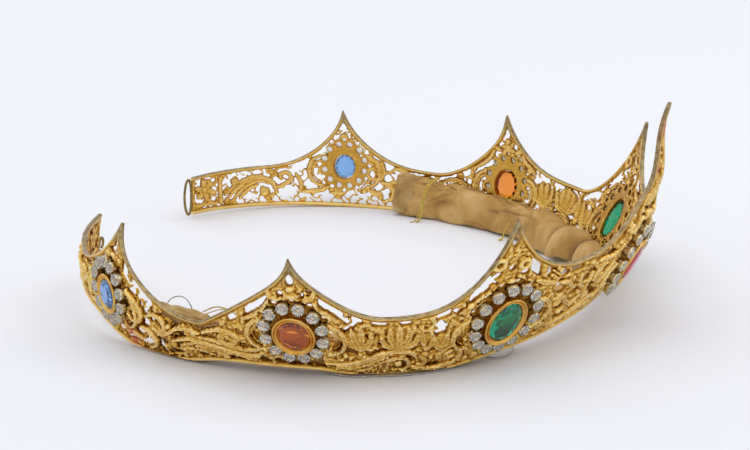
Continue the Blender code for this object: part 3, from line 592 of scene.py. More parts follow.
@dataclass(frozen=True)
class GiltBrass:
    """Fire-gilt brass sheet, stamped and chased: brown tarnish in the recesses deepened with painted shade,
    and a painted highlight on the raised work.
    """

    name: str = "aged_gilt_brass"
    # On the chased sheet, recess is tarnish darkened further as painted shade, and bright is a painted
    # highlight on the raised work.
    recess: str = "#6E4312"
    ground: str = "#B98833"
    middle: str = "#E2B353"
    bright: str = "#F8DC94"
    worn: str = "#A89878"
    worn_dark: str = "#6E604C"
    paint: str = "#C8605A"
    roughness: float = 0.3
    chased: bool = True
    mottle_mm: float = 5.0
    wear_mm: float = 1.6
    grain_mm: float = 0.5
    grain_deep: float = 0.00012

    def make(self) -> Material:
        """Build the material: raised work gets a painted highlight, recesses get tarnish and painted shade,
        the worn rims show grey-brown metal.

        Returns:
            The material.
        """
        material, tree, surface = new_material(self.name)
        place = add_node(tree, "ShaderNodeTexCoord").outputs["Object"]
        inputs = {"Vector": place, "Scale": per_metre(self.mottle_mm), "Detail": 4.0, "Distortion": 0.4}
        mottle = add_node(tree, "ShaderNodeTexNoise", inputs).outputs["Fac"]
        inputs = {0: mottle, 1: 0.36, 2: -0.18} if self.chased else {0: mottle, 1: 0.5, 2: 0.42}
        tone = add_node(tree, "ShaderNodeMath", inputs, operation="MULTIPLY_ADD").outputs[0]
        if self.chased:
            tarnish_shade_and_highlight, wear, stain = (
                add_node(tree, "ShaderNodeAttribute", attribute_name=name).outputs["Fac"]
                for name in ("tarnish_shade_and_highlight", "wear", "stain")
            )
            # The mask paints shade into the recesses and a highlight onto the raised work, over the
            # tarnish.
            tone = add_node(tree, "ShaderNodeMath", {0: tarnish_shade_and_highlight, 1: tone}, operation="ADD").outputs[0]
        stops = ((0.0, self.recess), (0.34, self.ground), (0.62, self.middle), (1.0, self.bright))
        colour = add_node(tree, "ShaderNodeValToRGB", {"Fac": tone}, stops=stops).outputs["Color"]
        if self.chased:
            inputs = {"Vector": place, "Scale": per_metre(self.wear_mm), "Detail": 3.0}
            fine = add_node(tree, "ShaderNodeTexNoise", inputs).outputs["Fac"]
            stops = ((0.35, self.worn_dark), (0.65, self.worn))
            grey = add_node(tree, "ShaderNodeValToRGB", {"Fac": fine}, stops=stops).outputs["Color"]
            for share, other in ((wear, grey), (stain, linear(self.paint))):
                inputs = {"Factor": share, 6: colour, 7: other}
                colour = add_node(tree, "ShaderNodeMix", inputs, data_type="RGBA").outputs[2]
        inputs = {0: mottle, 1: 0.24, 2: self.roughness - 0.1}
        rough = add_node(tree, "ShaderNodeMath", inputs, operation="MULTIPLY_ADD").outputs[0]
        inputs = {"Vector": place, "Scale": per_metre(self.grain_mm), "Detail": 4.0}
        grain = add_node(tree, "ShaderNodeTexNoise", inputs).outputs["Fac"]
        inputs = {"Height": grain, "Strength": 0.55, "Distance": self.grain_deep}
        bump = add_node(tree, "ShaderNodeBump", inputs).outputs["Normal"]
        inputs = {"Base Color": colour, "Metallic": 1.0, "Roughness": rough, "Normal": bump}
        set_inputs(surface, inputs)
        return material


@dataclass(frozen=True)
class PasteStone:
    """Cut paste, which is lead glass: polished facets, coloured through."""

    name: str
    colour: str
    roughness: float = 0.03
    clearness: float = 1.0
    ior: float = 1.58

    def make(self) -> Material:
        """Build the material: clear coloured glass that glows when light comes from behind.

        Returns:
            The material.
        """
        material, _, surface = new_material(self.name)
        set_inputs(surface, {
            "Base Color": linear(self.colour), "Roughness": self.roughness, "IOR": self.ior,
            "Transmission Weight": self.clearness,
        })
        return material


@dataclass(frozen=True)
class WornLeather:
    """Vegetable-tanned sheepskin over felt: dull tan, darker in the creases as painted shade, with pale
    scuffs.
    """

    name: str = "worn_leather"
    # The darkest tone serves the dark blotches and the painted shade in the creases.
    dark: str = "#6E4A1E"
    middle: str = "#B48A44"
    pale: str = "#D6B476"
    grain_mm: float = 0.7
    grain_deep: float = 0.0002
    blotch_mm: float = 9.0
    roughness: float = 0.72

    def make(self) -> Material:
        """Build the material: painted shade in the creases from the piece's own attribute, grain and scuffs
        from noise.

        Returns:
            The material.
        """
        material, tree, surface = new_material(self.name)
        crease_shade_and_seam = add_node(tree, "ShaderNodeAttribute", attribute_name="crease_shade_and_seam").outputs["Fac"]
        place = add_node(tree, "ShaderNodeTexCoord").outputs["Object"]
        inputs = {"Vector": place, "Scale": per_metre(self.blotch_mm), "Detail": 4.0, "Distortion": 0.6}
        blotch = add_node(tree, "ShaderNodeTexNoise", inputs).outputs["Fac"]
        inputs = {0: blotch, 1: 1.15, 2: -0.04}
        tone = add_node(tree, "ShaderNodeMath", inputs, operation="MULTIPLY_ADD").outputs[0]
        # Painted shade in the creases darkens the tone.
        tone = add_node(tree, "ShaderNodeMath", {0: tone, 1: crease_shade_and_seam}, operation="SUBTRACT").outputs[0]
        stops = ((0.05, self.dark), (0.5, self.middle), (0.85, self.pale))
        colour = add_node(tree, "ShaderNodeValToRGB", {"Fac": tone}, stops=stops).outputs["Color"]
        inputs = {"Vector": place, "Scale": per_metre(self.grain_mm), "Detail": 5.0}
        grain = add_node(tree, "ShaderNodeTexNoise", inputs).outputs["Fac"]
        inputs = {"Height": grain, "Strength": 0.5, "Distance": self.grain_deep}
        bump = add_node(tree, "ShaderNodeBump", inputs).outputs["Normal"]
        set_inputs(surface, {"Base Color": colour, "Roughness": self.roughness, "Normal": bump})
        return material


@dataclass(frozen=True)
class SpunThread:
    """Waxed cotton thread or drawn wire: one colour with a slight unevenness."""

    name: str
    colour: str
    shade: str
    roughness: float = 0.7
    metallic: float = 0.0
    mottle_mm: float = 0.8

    def make(self) -> Material:
        """Build the material with a fine change of tone along the thread.

        Returns:
            The material.
        """
        material, tree, surface = new_material(self.name)
        place = add_node(tree, "ShaderNodeTexCoord").outputs["Object"]
        inputs = {"Vector": place, "Scale": per_metre(self.mottle_mm), "Detail": 3.0}
        mottle = add_node(tree, "ShaderNodeTexNoise", inputs).outputs["Fac"]
        stops = ((0.3, self.shade), (0.7, self.colour))
        tone = add_node(tree, "ShaderNodeValToRGB", {"Fac": mottle}, stops=stops).outputs["Color"]
        inputs = {"Base Color": tone, "Roughness": self.roughness, "Metallic": self.metallic}
        set_inputs(surface, inputs)
        return material


def new_object(name: str, data: bpy.types.ID) -> bpy.types.Object:
    """Make an object and put it into the scene.

    Args:
        name: Its name.
        data: Its mesh, curve, light or camera.

    Returns:
        The object.
    """
    obj = bpy.data.objects.new(name, data)
    bpy.context.scene.collection.objects.link(obj)
    return obj


class Workshop:
    """Holds the materials and puts finished meshes into the scene."""

    def __init__(self) -> None:
        """Make every finish once."""
        self.gilt = GiltBrass().make()
        collet = GiltBrass("gilt_collet", ground="#A87428", middle="#DCA648", chased=False, roughness=0.26)
        self.collet = collet.make()
        cup = GiltBrass("gilt_cup", ground="#B8A070", middle="#D8CCA8", bright="#F0E8D0", chased=False)
        self.cup = cup.make()
        self.clear = PasteStone("clear_paste", "#FBF8F4", clearness=0.88, ior=1.6).make()
        self.leather = WornLeather().make()
        self.cloth = WornLeather("soiled_lining_cloth", "#7A5A2C", "#A8854A", "#CDB488", 0.5).make()
        self.thread = SpunThread("waxed_thread", "#D8C050", "#A88C2C").make()
        self.wire = SpunThread("tinned_wire", "#C8C4B8", "#8E8A80", 0.35, 1.0).make()
        self.brass_wire = SpunThread("brass_wire", "#A88C50", "#6E5A34", 0.35, 1.0).make()
        self.stones = {
            colour: PasteStone(
                f"{colour.name.lower()}_paste",
                colour.value,
                clearness=0.86 if colour is StoneColour.BLUE else 1.0,
            ).make()
            for colour in StoneColour
        }

    def add(self, name: str, mesh: Mesh, materials: Sequence[Material], slot: str) -> bpy.types.Object:
        """Put a mesh into the scene as a piece that rides on the tiara.

        Args:
            name: The piece's name.
            mesh: Its mesh, in world place.
            materials: Its materials, or none if the mesh has them.
            slot: The record's material slot; not used.

        Returns:
            The new object.
        """
        for material in materials:
            mesh.materials.append(material)
        obj = new_object(name, mesh)
        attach(obj, BODY)
        log.info("%s: %d faces", name, len(mesh.polygons))
        return obj


def close_up(mesh: Mesh, fill: bool = False, merge: float = 0.0) -> None:
    """Merge doubled corners and fill open ends where asked, and turn every face outwards.

    Args:
        mesh: The mesh.
        fill: Whether open ends are filled.
        merge: Distance in metres within which corners are merged, or 0 for none.
    """
    bm = bmesh.new()
    bm.from_mesh(mesh)
    if merge:
        bmesh.ops.remove_doubles(bm, verts=bm.verts, dist=merge)
    if fill:
        bmesh.ops.holes_fill(bm, edges=[e for e in bm.edges if e.is_boundary], sides=0)
    bmesh.ops.recalc_face_normals(bm, faces=bm.faces)
    bm.to_mesh(mesh)
    bm.free()


def mesh_from_arrays(name: str, places: Array, faces: Sequence[Array], sharp: float | None) -> Mesh:
    """Make a mesh quickly from arrays.

    Args:
        name: The mesh's name.
        places: One row for each corner.
        faces: Arrays of corner numbers, each array with faces of one length.
        sharp: Angle in degrees past which an edge is sharp, or None for all smooth.

    Returns:
        The mesh, smooth shaded.
    """
    counts = np.concatenate([np.full(len(f), f.shape[1]) for f in faces])
    corners = np.concatenate([f.ravel() for f in faces])
    mesh = bpy.data.meshes.new(name)
    mesh.vertices.add(len(places))
    mesh.vertices.foreach_set("co", places.astype(np.float32).ravel())
    mesh.loops.add(len(corners))
    mesh.loops.foreach_set("vertex_index", corners.astype(np.int32))
    mesh.polygons.add(len(counts))
    starts = np.concatenate([[0], np.cumsum(counts)[:-1]])
    mesh.polygons.foreach_set("loop_start", starts.astype(np.int32))
    mesh.polygons.foreach_set("use_smooth", np.ones(len(counts), bool))
    mesh.update(calc_edges=True)
    mesh.validate()
    if sharp is not None:
        mesh.set_sharp_from_angle(angle=radians(sharp))
    return mesh


def add_values(mesh: Mesh, name: str, values: Array) -> None:
    """Store one number for each corner under a name that the materials read."""
    layer = mesh.attributes.new(name, "FLOAT", "POINT")
    layer.data.foreach_set("value", values.astype(np.float32))


class Chart:
    """The flat sheet as a grid: where there is metal, and how high its chased work stands."""

    def __init__(self, cell: float) -> None:
        """Lay the grid out and draw the sheet's outline.

        Args:
            cell: Side of a grid cell in millimetres.
        """
        self.cell = cell
        self.s = np.arange(NEAR_END - 1.5 * cell, FAR_END + 2 * cell, cell)
        self.h = np.arange(-1.5 * cell, CHART_TOP, cell)
        self.top = top_height(self.s)
        slope = np.abs(np.diff(self.top)) / cell
        steepest = np.maximum(np.append(slope, 0), np.insert(slope, 0, 0))
        self.square = 1 / np.sqrt(1 + steepest**2)
        self.from_top = (self.top[:, None] - self.h[None]) * self.square[:, None]
        rise = smooth_curve(RIM_RISE)(self.s)
        self.from_low = self.h[None] - rise[:, None]
        self.metal = np.minimum(self.from_top, self.from_low)
        self.metal = np.minimum(self.metal, (self.s - NEAR_END)[:, None])
        self.metal = np.minimum(self.metal, (FAR_END - self.s)[:, None])
        self.outline = self.metal.copy()
        self.work = np.zeros_like(self.metal)
        self.stroke_metal = np.full_like(self.metal, -FAR_AWAY)

    def window(self, low: Sequence[float], high: Sequence[float]) -> tuple:
        """Find the part of the grid that holds a box.

        Args:
            low: Lowest station and height.
            high: Highest station and height.

        Returns:
            The rows, the columns, and the stations and heights there.
        """
        i0, i1 = np.searchsorted(self.s, (low[0], high[0]))
        j0, j1 = np.searchsorted(self.h, (low[1], high[1]))
        across, up = np.meshgrid(self.s[i0:i1], self.h[j0:j1], indexing="ij")
        return slice(i0, i1), slice(j0, j1), across, up

    def cut(self, i: slice, j: slice, outside: Array) -> None:
        """Open a gap where the distance outside it is below zero."""
        self.metal[i, j] = np.minimum(self.metal[i, j], outside)

    def raise_work(self, i: slice, j: slice, height: Array, inside: Array) -> None:
        """Raise the chased work to a height where it isn't higher already, on metal of its own."""
        self.work[i, j] = np.maximum(self.work[i, j], height)
        self.stroke_metal[i, j] = np.maximum(self.stroke_metal[i, j], inside)

    def cut_oval(
        self, s: float, h: float, length: float, height: float, turn: float, power: float = 2.5
    ) -> None:
        """Open a rounded gap.

        Args:
            s: Station of its middle.
            h: Height of its middle.
            length: Its length.
            height: Its height.
            turn: How far it is turned, in degrees.
            power: 2 for an oval, more for a squarer gap.
        """
        reach = max(length, height) / 2 + 2
        i, j, across, up = self.window((s - reach, h - reach), (s + reach, h + reach))
        c, n = cos(radians(turn)), sin(radians(turn))
        along = np.abs((across - s) * c + (up - h) * n) / (length / 2)
        over = np.abs(-(across - s) * n + (up - h) * c) / (height / 2)
        self.cut(i, j, ((along**power + over**power) ** (1 / power) - 1) * min(length, height) / 2)

    def stroke_distance(self, places: Array, reach: float) -> tuple:
        """Measure the distance to a line.

        Args:
            places: Station and height of each place on the line.
            reach: How far beyond the line is measured.

        Returns:
            The rows, the columns, the distances there, and how far along the line, from 0 to 1.
        """
        i, j, across, up = self.window(places.min(0) - reach, places.max(0) + reach)
        best = np.full(across.shape, FAR_AWAY)
        along = np.zeros(across.shape)
        steps = len(places) - 1
        for k, (start, end) in enumerate(zip(places, places[1:])):
            run = end - start
            share = unit(((across - start[0]) * run[0] + (up - start[1]) * run[1]) / max(run @ run, 1e-9))
            away = np.hypot(across - start[0] - share * run[0], up - start[1] - share * run[1])
            nearer = away < best
            best = np.where(nearer, away, best)
            along = np.where(nearer, (k + share) / steps, along)
        return i, j, best, along

    def cut_moon(
        self, s: float, h: float, radius: float, thickness: float, first: float, last: float
    ) -> None:
        """Open a crescent along an arc.

        Args:
            s: Station of the arc's middle.
            h: Height of the arc's middle.
            radius: Radius of the arc.
            thickness: Thickness of the crescent half way.
            first: Angle at its start in degrees.
            last: Angle at its end in degrees.
        """
        angles = np.radians(np.linspace(first, last, 11))
        places = np.stack([s + radius * np.cos(angles), h + radius * np.sin(angles)], -1)
        i, j, away, along = self.stroke_distance(places, thickness + 1.5)
        half = thickness / 2 * np.sqrt(np.clip(1 - (2 * along - 1) ** 2, 0.04, 1))
        self.cut(i, j, away - half)

    def cut_rim(self, s0: float, s1: float, drop: float, first: float, last: float) -> None:
        """Open a slot that follows the upper edge.

        Args:
            s0: Station of one end.
            s1: Station of the other end.
            drop: How far it lies below the rim.
            first: Its depth at the first end.
            last: Its depth at the other end.
        """
        low, high = min(s0, s1), max(s0, s1)
        i0, i1 = np.searchsorted(self.s, (low - 1.5, high + 1.5))
        s = self.s[i0:i1]
        share = unit((s - s0) / (s1 - s0))
        thick = first + (last - first) * share
        below = self.from_top[i0:i1] - RIM_HEIGHT - drop
        middle = thick[:, None] / 2
        over = np.abs(below - middle) - middle
        side = np.maximum(low - s, s - high)[:, None] * self.square[i0:i1, None] ** -0.5
        round_off = 0.45
        outside = np.hypot(np.maximum(over + round_off, 0), np.maximum(side + round_off, 0)) - round_off
        outside = np.where((over < -round_off) & (side < -round_off), np.maximum(over, side), outside)
        self.cut(slice(i0, i1), slice(0, len(self.h)), outside)

    def stroke(
        self, places: Sequence[tuple[float, float]], radius: float, rise: float, lobed: bool = True
    ) -> None:
        """Raise a leaf-like stroke that tapers to both ends.

        Args:
            places: Station and height of the places that it runs through.
            radius: Half its width.
            rise: How high it stands.
            lobed: Whether it has a vein along it and lobed edges.
        """
        line = smooth_line(np.array(places, float), 6)
        length = np.hypot(*np.diff(line, axis=0).T).sum()
        i, j, away, along = self.stroke_distance(line, 1.5 * radius + 0.6)
        half = radius * (0.4 + 0.6 * np.sin(pi * unit(along * 0.92 + 0.06)) ** 0.6)
        if lobed:
            half = half * (1.06 + LOBE_DEPTH * np.sin(2 * pi * length * along / LOBE_SPACING))
        across = away / half
        height = rise * dome(across)
        if lobed:
            height = height * (1 - VEIN_DEPTH * bell(across, VEIN_WIDTH))
        self.raise_work(i, j, height, half - away)

    def berry(self, s: float, h: float, radius: float, rise: float = 1.25) -> None:
        """Raise a round berry.

        Args:
            s: Its station.
            h: Its height.
            radius: Its radius.
            rise: How high it stands.
        """
        i, j, across, up = self.window((s - radius, h - radius), (s + radius, h + radius))
        away = np.hypot(across - s, up - h)
        self.raise_work(i, j, rise * dome(away / radius), radius - away)

    def flower(self, s: float, h: float, radius: float) -> None:
        """Raise a flower of six petals round a berry.

        Args:
            s: Its station.
            h: Its height.
            radius: Its radius.
        """
        petals = 6
        for k in range(petals):
            angle = 2 * pi * k / petals + 0.3
            tip = (s + radius * cos(angle), h + radius * sin(angle))
            root = (s + 0.35 * radius * cos(angle), h + 0.35 * radius * sin(angle))
            self.stroke((root, tip), 0.3 * radius, 0.95)
        self.berry(s, h, 0.32 * radius, 1.2)

    def eyelet(self, s: float, h: float, radius: float) -> None:
        """Raise a plain ring.

        Args:
            s: Its station.
            h: Its height.
            radius: Its radius.
        """
        angles = np.linspace(0, 2 * pi, 13)
        ring = [(s + 0.72 * radius * cos(a), h + 0.72 * radius * sin(a)) for a in angles]
        i, j, away, _ = self.stroke_distance(smooth_line(np.array(ring), 3), radius)
        half = 0.4 * radius
        self.raise_work(i, j, 1.1 * dome(away / half), half - away)


def smooth_line(places: Array, steps: int) -> Array:
    """Run a smooth line through places.

    Args:
        places: The places, one row each.
        steps: Steps between each two.

    Returns:
        The line's places.
    """
    if len(places) < 3:
        return places
    padded = np.concatenate([[2 * places[0] - places[1]], places, [2 * places[-1] - places[-2]]])
    out = []
    for k in range(len(places) - 1):
        a, b, c, d = padded[k : k + 4]
        for t in np.arange(steps) / steps:
            bend = (2 * a - 5 * b + 4 * c - d) * t**2 + (3 * b - a - 3 * c + d) * t**3
            out.append(0.5 * (2 * b + (c - a) * t + bend))
    out.append(places[-1])
    return np.array(out)


def rounded_least(limits: Sequence[Array], rounding: float) -> Array:
    """Take the least of several distances, with the corners between them rounded."""
    total = sum(np.exp(-np.clip(limit, -6, 6) / rounding) for limit in limits)
    return -rounding * np.log(total)


def cell_borders(
    across: Array, up: Array, spacing: float, seed: int, bow: float = 0.0
) -> tuple[Array, Array]:
    """Divide the sheet into uneven cells round scattered seeds.

    Args:
        across: Stations of the grid.
        up: Heights of the grid.
        spacing: Average distance between seeds in millimetres.
        seed: Start of the random numbers.
        bow: How far the borders are bowed, in millimetres.

    Returns:
        The distance from each grid place to the nearest border, and a number from 0 to 1 that is
        the same all over a cell.
    """
    rng = np.random.default_rng(seed)
    low = (float(across[0]) - 2 * spacing, float(up[0]) - 2 * spacing)
    counts = (int((across[-1] - low[0]) / spacing) + 4, int((up[-1] - low[1]) / spacing) + 4)
    jitter = rng.uniform(0.08, 0.92, (*counts, 2))
    cells = np.stack(np.meshgrid(*map(np.arange, counts), indexing="ij"), -1)
    seeds = (cells + jitter) * spacing + np.array(low)
    label = rng.random(counts)
    i = ((across - low[0]) // spacing).astype(int)
    j = ((up - low[1]) // spacing).astype(int)
    bent_across = across[:, None] + bow * np.sin(up[None] * 1.7 + 1.3 * np.sin(across[:, None] * 0.6))
    bent_up = up[None] + bow * np.sin(across[:, None] * 1.5 + 1.1 * np.sin(up[None] * 0.8))
    steps = [(di, dj) for di in (-1, 0, 1) for dj in (-1, 0, 1)]
    near = np.stack([seeds[np.ix_(i + di, j + dj)] for di, dj in steps])
    marks = np.stack([label[np.ix_(i + di, j + dj)] for di, dj in steps])
    away = (near[..., 0] - bent_across) ** 2 + (near[..., 1] - bent_up) ** 2
    order = np.argsort(away, axis=0)[:2]
    first, second = np.take_along_axis(away, order, 0)
    first_seed, second_seed = np.take_along_axis(near, order[..., None], 0)
    value = np.take_along_axis(marks, order[:1], 0)[0]
    apart = np.hypot(*np.moveaxis(second_seed - first_seed, -1, 0))
    return (second - first) / (2 * apart + 1e-9), value


@dataclass
class ChasedBand:
    """The pierced and chased band, in four soldered sections."""

    cell: float = 0.25
    sheet: float = 1.0
    lower_rim: float = 1.35
    lower_rim_depth: float = 1.9
    upper_rim_depth: float = 1.5
    stone_gap: float = 0.3
    filler_count: int = 3200
    clear_hole: float = 0.98
    lace_spacing: float = 3.5
    lace_web: float = 0.3
    lace_rounding: float = 0.16
    # Station and the share of the ground between the scrolls that is open there.
    lace_share: tuple = (
        (-228, 0.8), (-150, 0.62), (-120, 0.3), (-96, 0.14), (-10, 0.14), (12, 0.7), (60, 0.8), (228, 0.82)
    )
    # Metal kept round strokes, the lower rim, the upper rim, the ends and the halos.
    lace_margins: tuple[float, ...] = (0.05, 0.15, 0.25, 1.2, 1.5)
    grain_spacing: float = 1.5
    grain_rise: float = 0.7
    crumple_spacing: float = 1.0
    crumple_rise: float = 0.34
    gallery_shade: float = 0.34
    stroke_swell: float = 1.22
    edge_width: float = 0.6
    edge_round: float = 0.38
    back_round: float = 0.3
    back_follow: float = 0.5
    tip_drop: float = 7.0
    spike_drop: float = 22.0
    spike_tip: float = 50.0
    tip_gap: tuple[float, float] = (1.9, 3.6)
    side_gap: tuple[float, float] = (2.6, 2.0)
    halo_gap: tuple[float, float] = (1.5, 1.3)
    halo_gap_away: float = 1.5
    joints: tuple[float, ...] = (-104.0, 0.0, 104.2)
    names: tuple[str, ...] = ("band_near_end", "band_near_front", "band_far_front", "band_far_end")
    chart: Chart = field(init=False)
    ground: Array = field(init=False)
    crumple: Array = field(init=False)
    back_tarnish_shade_and_highlight: Array = field(init=False)

    def pierce(self) -> None:
        """Open every gap of the chart on both sides, and those that belong to each point."""
        chart = self.chart
        for side in (-1, 1):
            for s, *size, turn in GAPS[GapKind.OVAL]:
                chart.cut_oval(from_chart(s, side), *size, side * turn)
            for s, *size, start, end in GAPS[GapKind.MOON]:
                if side < 0:
                    start, end = 180 - start, 180 - end
                chart.cut_moon(from_chart(s, side), *size, start, end)
            for s0, s1, *size in GAPS[GapKind.RIM]:
                chart.cut_rim(from_chart(s0, side), from_chart(s1, side), *size)
        for peak in PEAKS:
            drop = self.spike_drop if peak.tip > self.spike_tip else self.tip_drop
            chart.cut_oval(peak.station, peak.tip - drop, *self.tip_gap, 0, 1.6)
            for side in (-1, 1):
                s = peak.station + side * (peak.halo_wide + 0.8)
                angles = (-62, 58) if side > 0 else (242, 122)
                chart.cut_moon(s, peak.stone_height - 3.0, *self.side_gap, *angles)

    def pierce_lace(self) -> None:
        """Open the ground between the scrolls, with thin webs left, and keep the strokes whole."""
        chart = self.chart
        border, value = cell_borders(chart.s, chart.h, self.lace_spacing, SEED + 2, 0.75)
        share = np.interp(chart.s, *zip(*self.lace_share))[:, None]
        stroke, lower, upper, end, halo = self.lace_margins
        limits = [
            border - self.lace_web,
            -chart.stroke_metal - stroke,
            chart.from_low - self.lower_rim - lower,
            chart.from_top - RIM_HEIGHT - upper,
            np.minimum(chart.s - NEAR_END, FAR_END - chart.s)[:, None] - end,
        ]
        for peak in PEAKS:
            limits.append(peak.beyond_halo(chart.s[:, None], chart.h[None], halo))
        inside = rounded_least(limits, self.lace_rounding)
        inside = np.where(value < share, inside, -1.0)
        holes = np.minimum(chart.metal, -inside)
        kept = np.minimum(chart.stroke_metal - 0.12, chart.outline)
        chart.metal = np.maximum(np.minimum(chart.metal, holes), kept)

    def pierce_settings(self) -> None:
        """Open the sheet behind each stone and each clear stone of its halo."""
        for peak in PEAKS:
            size = (2 * (peak.half_width + self.stone_gap), 2 * (peak.half_height + self.stone_gap))
            self.chart.cut_oval(peak.station, peak.stone_height, *size, 0, 2.0)
            for s, h, _ in halo_places(peak):
                self.chart.cut_oval(s, h, 2 * self.clear_hole, 2 * self.clear_hole, 0, 2.0)
            for i in range(peak.clear_stones):
                around = 2 * pi * i / peak.clear_stones
                s = peak.station + (peak.halo_wide + self.halo_gap_away) * cos(around)
                high = HALO_SQUEEZE * peak.halo_high + self.halo_gap_away
                h = peak.stone_height + HALO_RAISE + high * sin(around)
                if 3.6 < h < peak.tip - 6:
                    self.chart.cut_oval(s, h, *self.halo_gap, 0, 2.0)

    def chase(self) -> None:
        """Raise the scrolls, leaves, berries and flowers on both sides."""
        chart = self.chart
        for side in (-1, 1):
            for rise, radius, *places in STROKES:
                line = [(from_chart(s, side), h) for s, h in places]
                chart.stroke(line, self.stroke_swell * radius, rise)
            for s, h, radius in BERRIES:
                chart.berry(from_chart(s, side), h, radius)
            for s, h, radius in LEAF_BEDS:
                chart.berry(from_chart(s, side), h, radius, 0.7)
            for s, h, radius in FLOWERS:
                chart.flower(from_chart(s, side), h, radius)
            for s, h, radius in EYELETS:
                chart.eyelet(from_chart(s, side), h, radius)
        for peak in PEAKS:
            for side in (-1, 1):
                self.scroll(peak, side)

    def scroll(self, peak: Peak, side: int) -> None:
        """Raise the bold scroll that turns its back to the neighbouring point.

        Args:
            peak: The point that it belongs to.
            side: -1 or 1, the side of the point on which it lies.
        """
        s0 = peak.station + side * (peak.halo_wide + 0.6)
        h0 = peak.stone_height - 1.6
        for radius, rise, swell in ((4.6, 1.35, 0.8), (3.4, 0.9, 0.45)):
            line = []
            for angle in np.radians(np.linspace(-88, 104, 9)):
                line.append((s0 + side * radius * cos(angle), h0 + 1.15 * radius * sin(angle)))
            self.chart.stroke(line, swell, rise)
            self.chart.berry(*line[-1], 1.15 * swell)

    def fill(self) -> None:
        """Cover the bare sheet with small leaves and seeds."""
        chart = self.chart
        rng = np.random.default_rng(SEED)
        grain, lump = cell_borders(chart.s, chart.h, self.grain_spacing, SEED + 3)
        swell = np.sqrt(unit(grain / 0.5))
        self.ground = self.grain_rise * swell * (0.45 + 0.55 * lump)
        fine, lump = cell_borders(chart.s, chart.h, self.crumple_spacing, SEED + 5, 0.25)
        self.crumple = self.crumple_rise * np.sqrt(unit(fine / 0.3)) * (0.3 + 0.7 * lump)
        bare = np.minimum(chart.metal, 1.0)
        for _ in range(self.filler_count):
            s = rng.uniform(NEAR_END + 3, FAR_END - 3)
            h = rng.uniform(2.6, 42.0)
            angle = rng.uniform(0, 2 * pi)
            length = rng.uniform(0.9, 1.8)
            bow = rng.uniform(-0.5, 0.5)
            kind = rng.random()
            i, j = np.searchsorted(chart.s, s), np.searchsorted(chart.h, h)
            if bare[i, j] < 0.3 or chart.work[i, j] > 0.25 or chart.from_top[i, j] < 2.0:
                continue
            if kind < 0.35:
                chart.berry(s, h, rng.uniform(0.6, 0.95), 1.0)
                continue
            if kind < 0.62:
                radius = rng.uniform(0.8, 1.3)
                turns = angle + np.linspace(0, rng.uniform(3.4, 4.6), 6)
                shrink = np.linspace(1, 0.6, 6)
                reach = radius * shrink
                line = np.stack([s + reach * np.cos(turns), h + reach * np.sin(turns)], -1)
                chart.stroke(line, rng.uniform(0.4, 0.55), 0.95, False)
                continue
            along = np.array([cos(angle), sin(angle)])
            across = np.array([-along[1], along[0]])
            middle = np.array([s, h])
            line = [middle - length * along, middle + bow * across, middle + length * along]
            chart.stroke(line, rng.uniform(0.55, 0.8), 0.9)

    def depths(self) -> tuple[Array, Array, Array, Array]:
        """Work out how deep the metal is, where its tarnish, painted shade and painted highlight lie, and
        how it is worn.

        Returns:
            The outer depth, inner depth, mask of tarnish, painted shade and painted highlight, and wear at
            each grid place.
        """
        chart = self.chart
        inner = unit(np.minimum(chart.from_low - self.lower_rim, chart.from_top - RIM_HEIGHT) / 0.4)
        within = unit(chart.metal / 0.3)
        work = np.maximum(chart.work, self.ground * inner) * within
        nearest = np.full(work.shape, FAR_AWAY)
        for peak in PEAKS:
            nearest = np.minimum(nearest, peak.beyond_halo(chart.s[:, None], chart.h[None], 0.8))
        work = work * unit(nearest * 1.2) + self.crumple * inner * within
        round_off = 1 - dome(1 - unit(chart.metal / self.edge_width))
        front = self.sheet + work - self.edge_round * round_off
        lower = unit(chart.from_low / self.lower_rim)
        bead = self.sheet + (self.lower_rim_depth - self.sheet) * dome(2 * lower - 1)
        front = np.where((lower > 0) & (lower < 1), np.maximum(bead, front * 0.8), front)
        ledge = unit((RIM_HEIGHT - chart.from_top) / 0.3) * unit(chart.from_top / 0.3 + 0.4)
        front = np.maximum(front, self.sheet + (self.upper_rim_depth - self.sheet) * ledge)
        back = self.back_round * round_off + self.back_follow * work * (1 - ledge)
        # Tarnish held in the hollows, deepened with painted shade, and a painted highlight on the raised
        # work.
        tarnish_shade_and_highlight = self.tarnish_shade_and_highlight(front)
        # The inner face mostly copies the outer face's mask: a painted highlight in its grooves behind the
        # raised work, painted shade between them.
        self.back_tarnish_shade_and_highlight = 0.75 * tarnish_shade_and_highlight + 0.25 * self.tarnish_shade_and_highlight(self.sheet + 0.5 - back)
        # Painted shadow on the plate round each halo.
        tarnish_shade_and_highlight = unit(tarnish_shade_and_highlight - self.gallery_shade * unit(0.6 - nearest))
        wear = unit((0.42 - chart.from_top) / 0.3)
        below_tip = np.full(chart.s.shape, FAR_AWAY)
        for peak in PEAKS:
            near = np.abs(chart.s - peak.station) < 6
            below_tip = np.where(near, peak.tip, below_tip)
        tip = unit((chart.h[None] - below_tip[:, None] + 9) / 6)
        wear = unit(np.maximum(wear * 0.85, 0.8 * tip))
        return front, back, tarnish_shade_and_highlight, wear

    def tarnish_shade_and_highlight(self, front: Array) -> Array:
        """Compare each place with its neighbourhood, for the colour mask: tarnish and painted shade in the
        recesses, painted highlight on raised work.

        Args:
            front: Depth of the surface at each grid place.

        Returns:
            0 deep in a recess, painted darkest, 1 on raised work, painted brightest.
        """
        reach = max(2, round(1.1 / self.cell))
        size = 2 * reach + 1
        blurred = front
        for _ in range(2):
            padded = np.pad(blurred, ((reach, reach), (0, 0)), "edge")
            total = np.cumsum(np.insert(padded, 0, 0, axis=0), axis=0)
            blurred = ((total[size:] - total[:-size]) / size).T
        local = (front - blurred) / 0.45
        # Higher relief is painted brighter, as a highlight.
        overall = (front - self.sheet) / 1.3
        return unit(0.42 + 0.5 * local + 0.22 * overall)

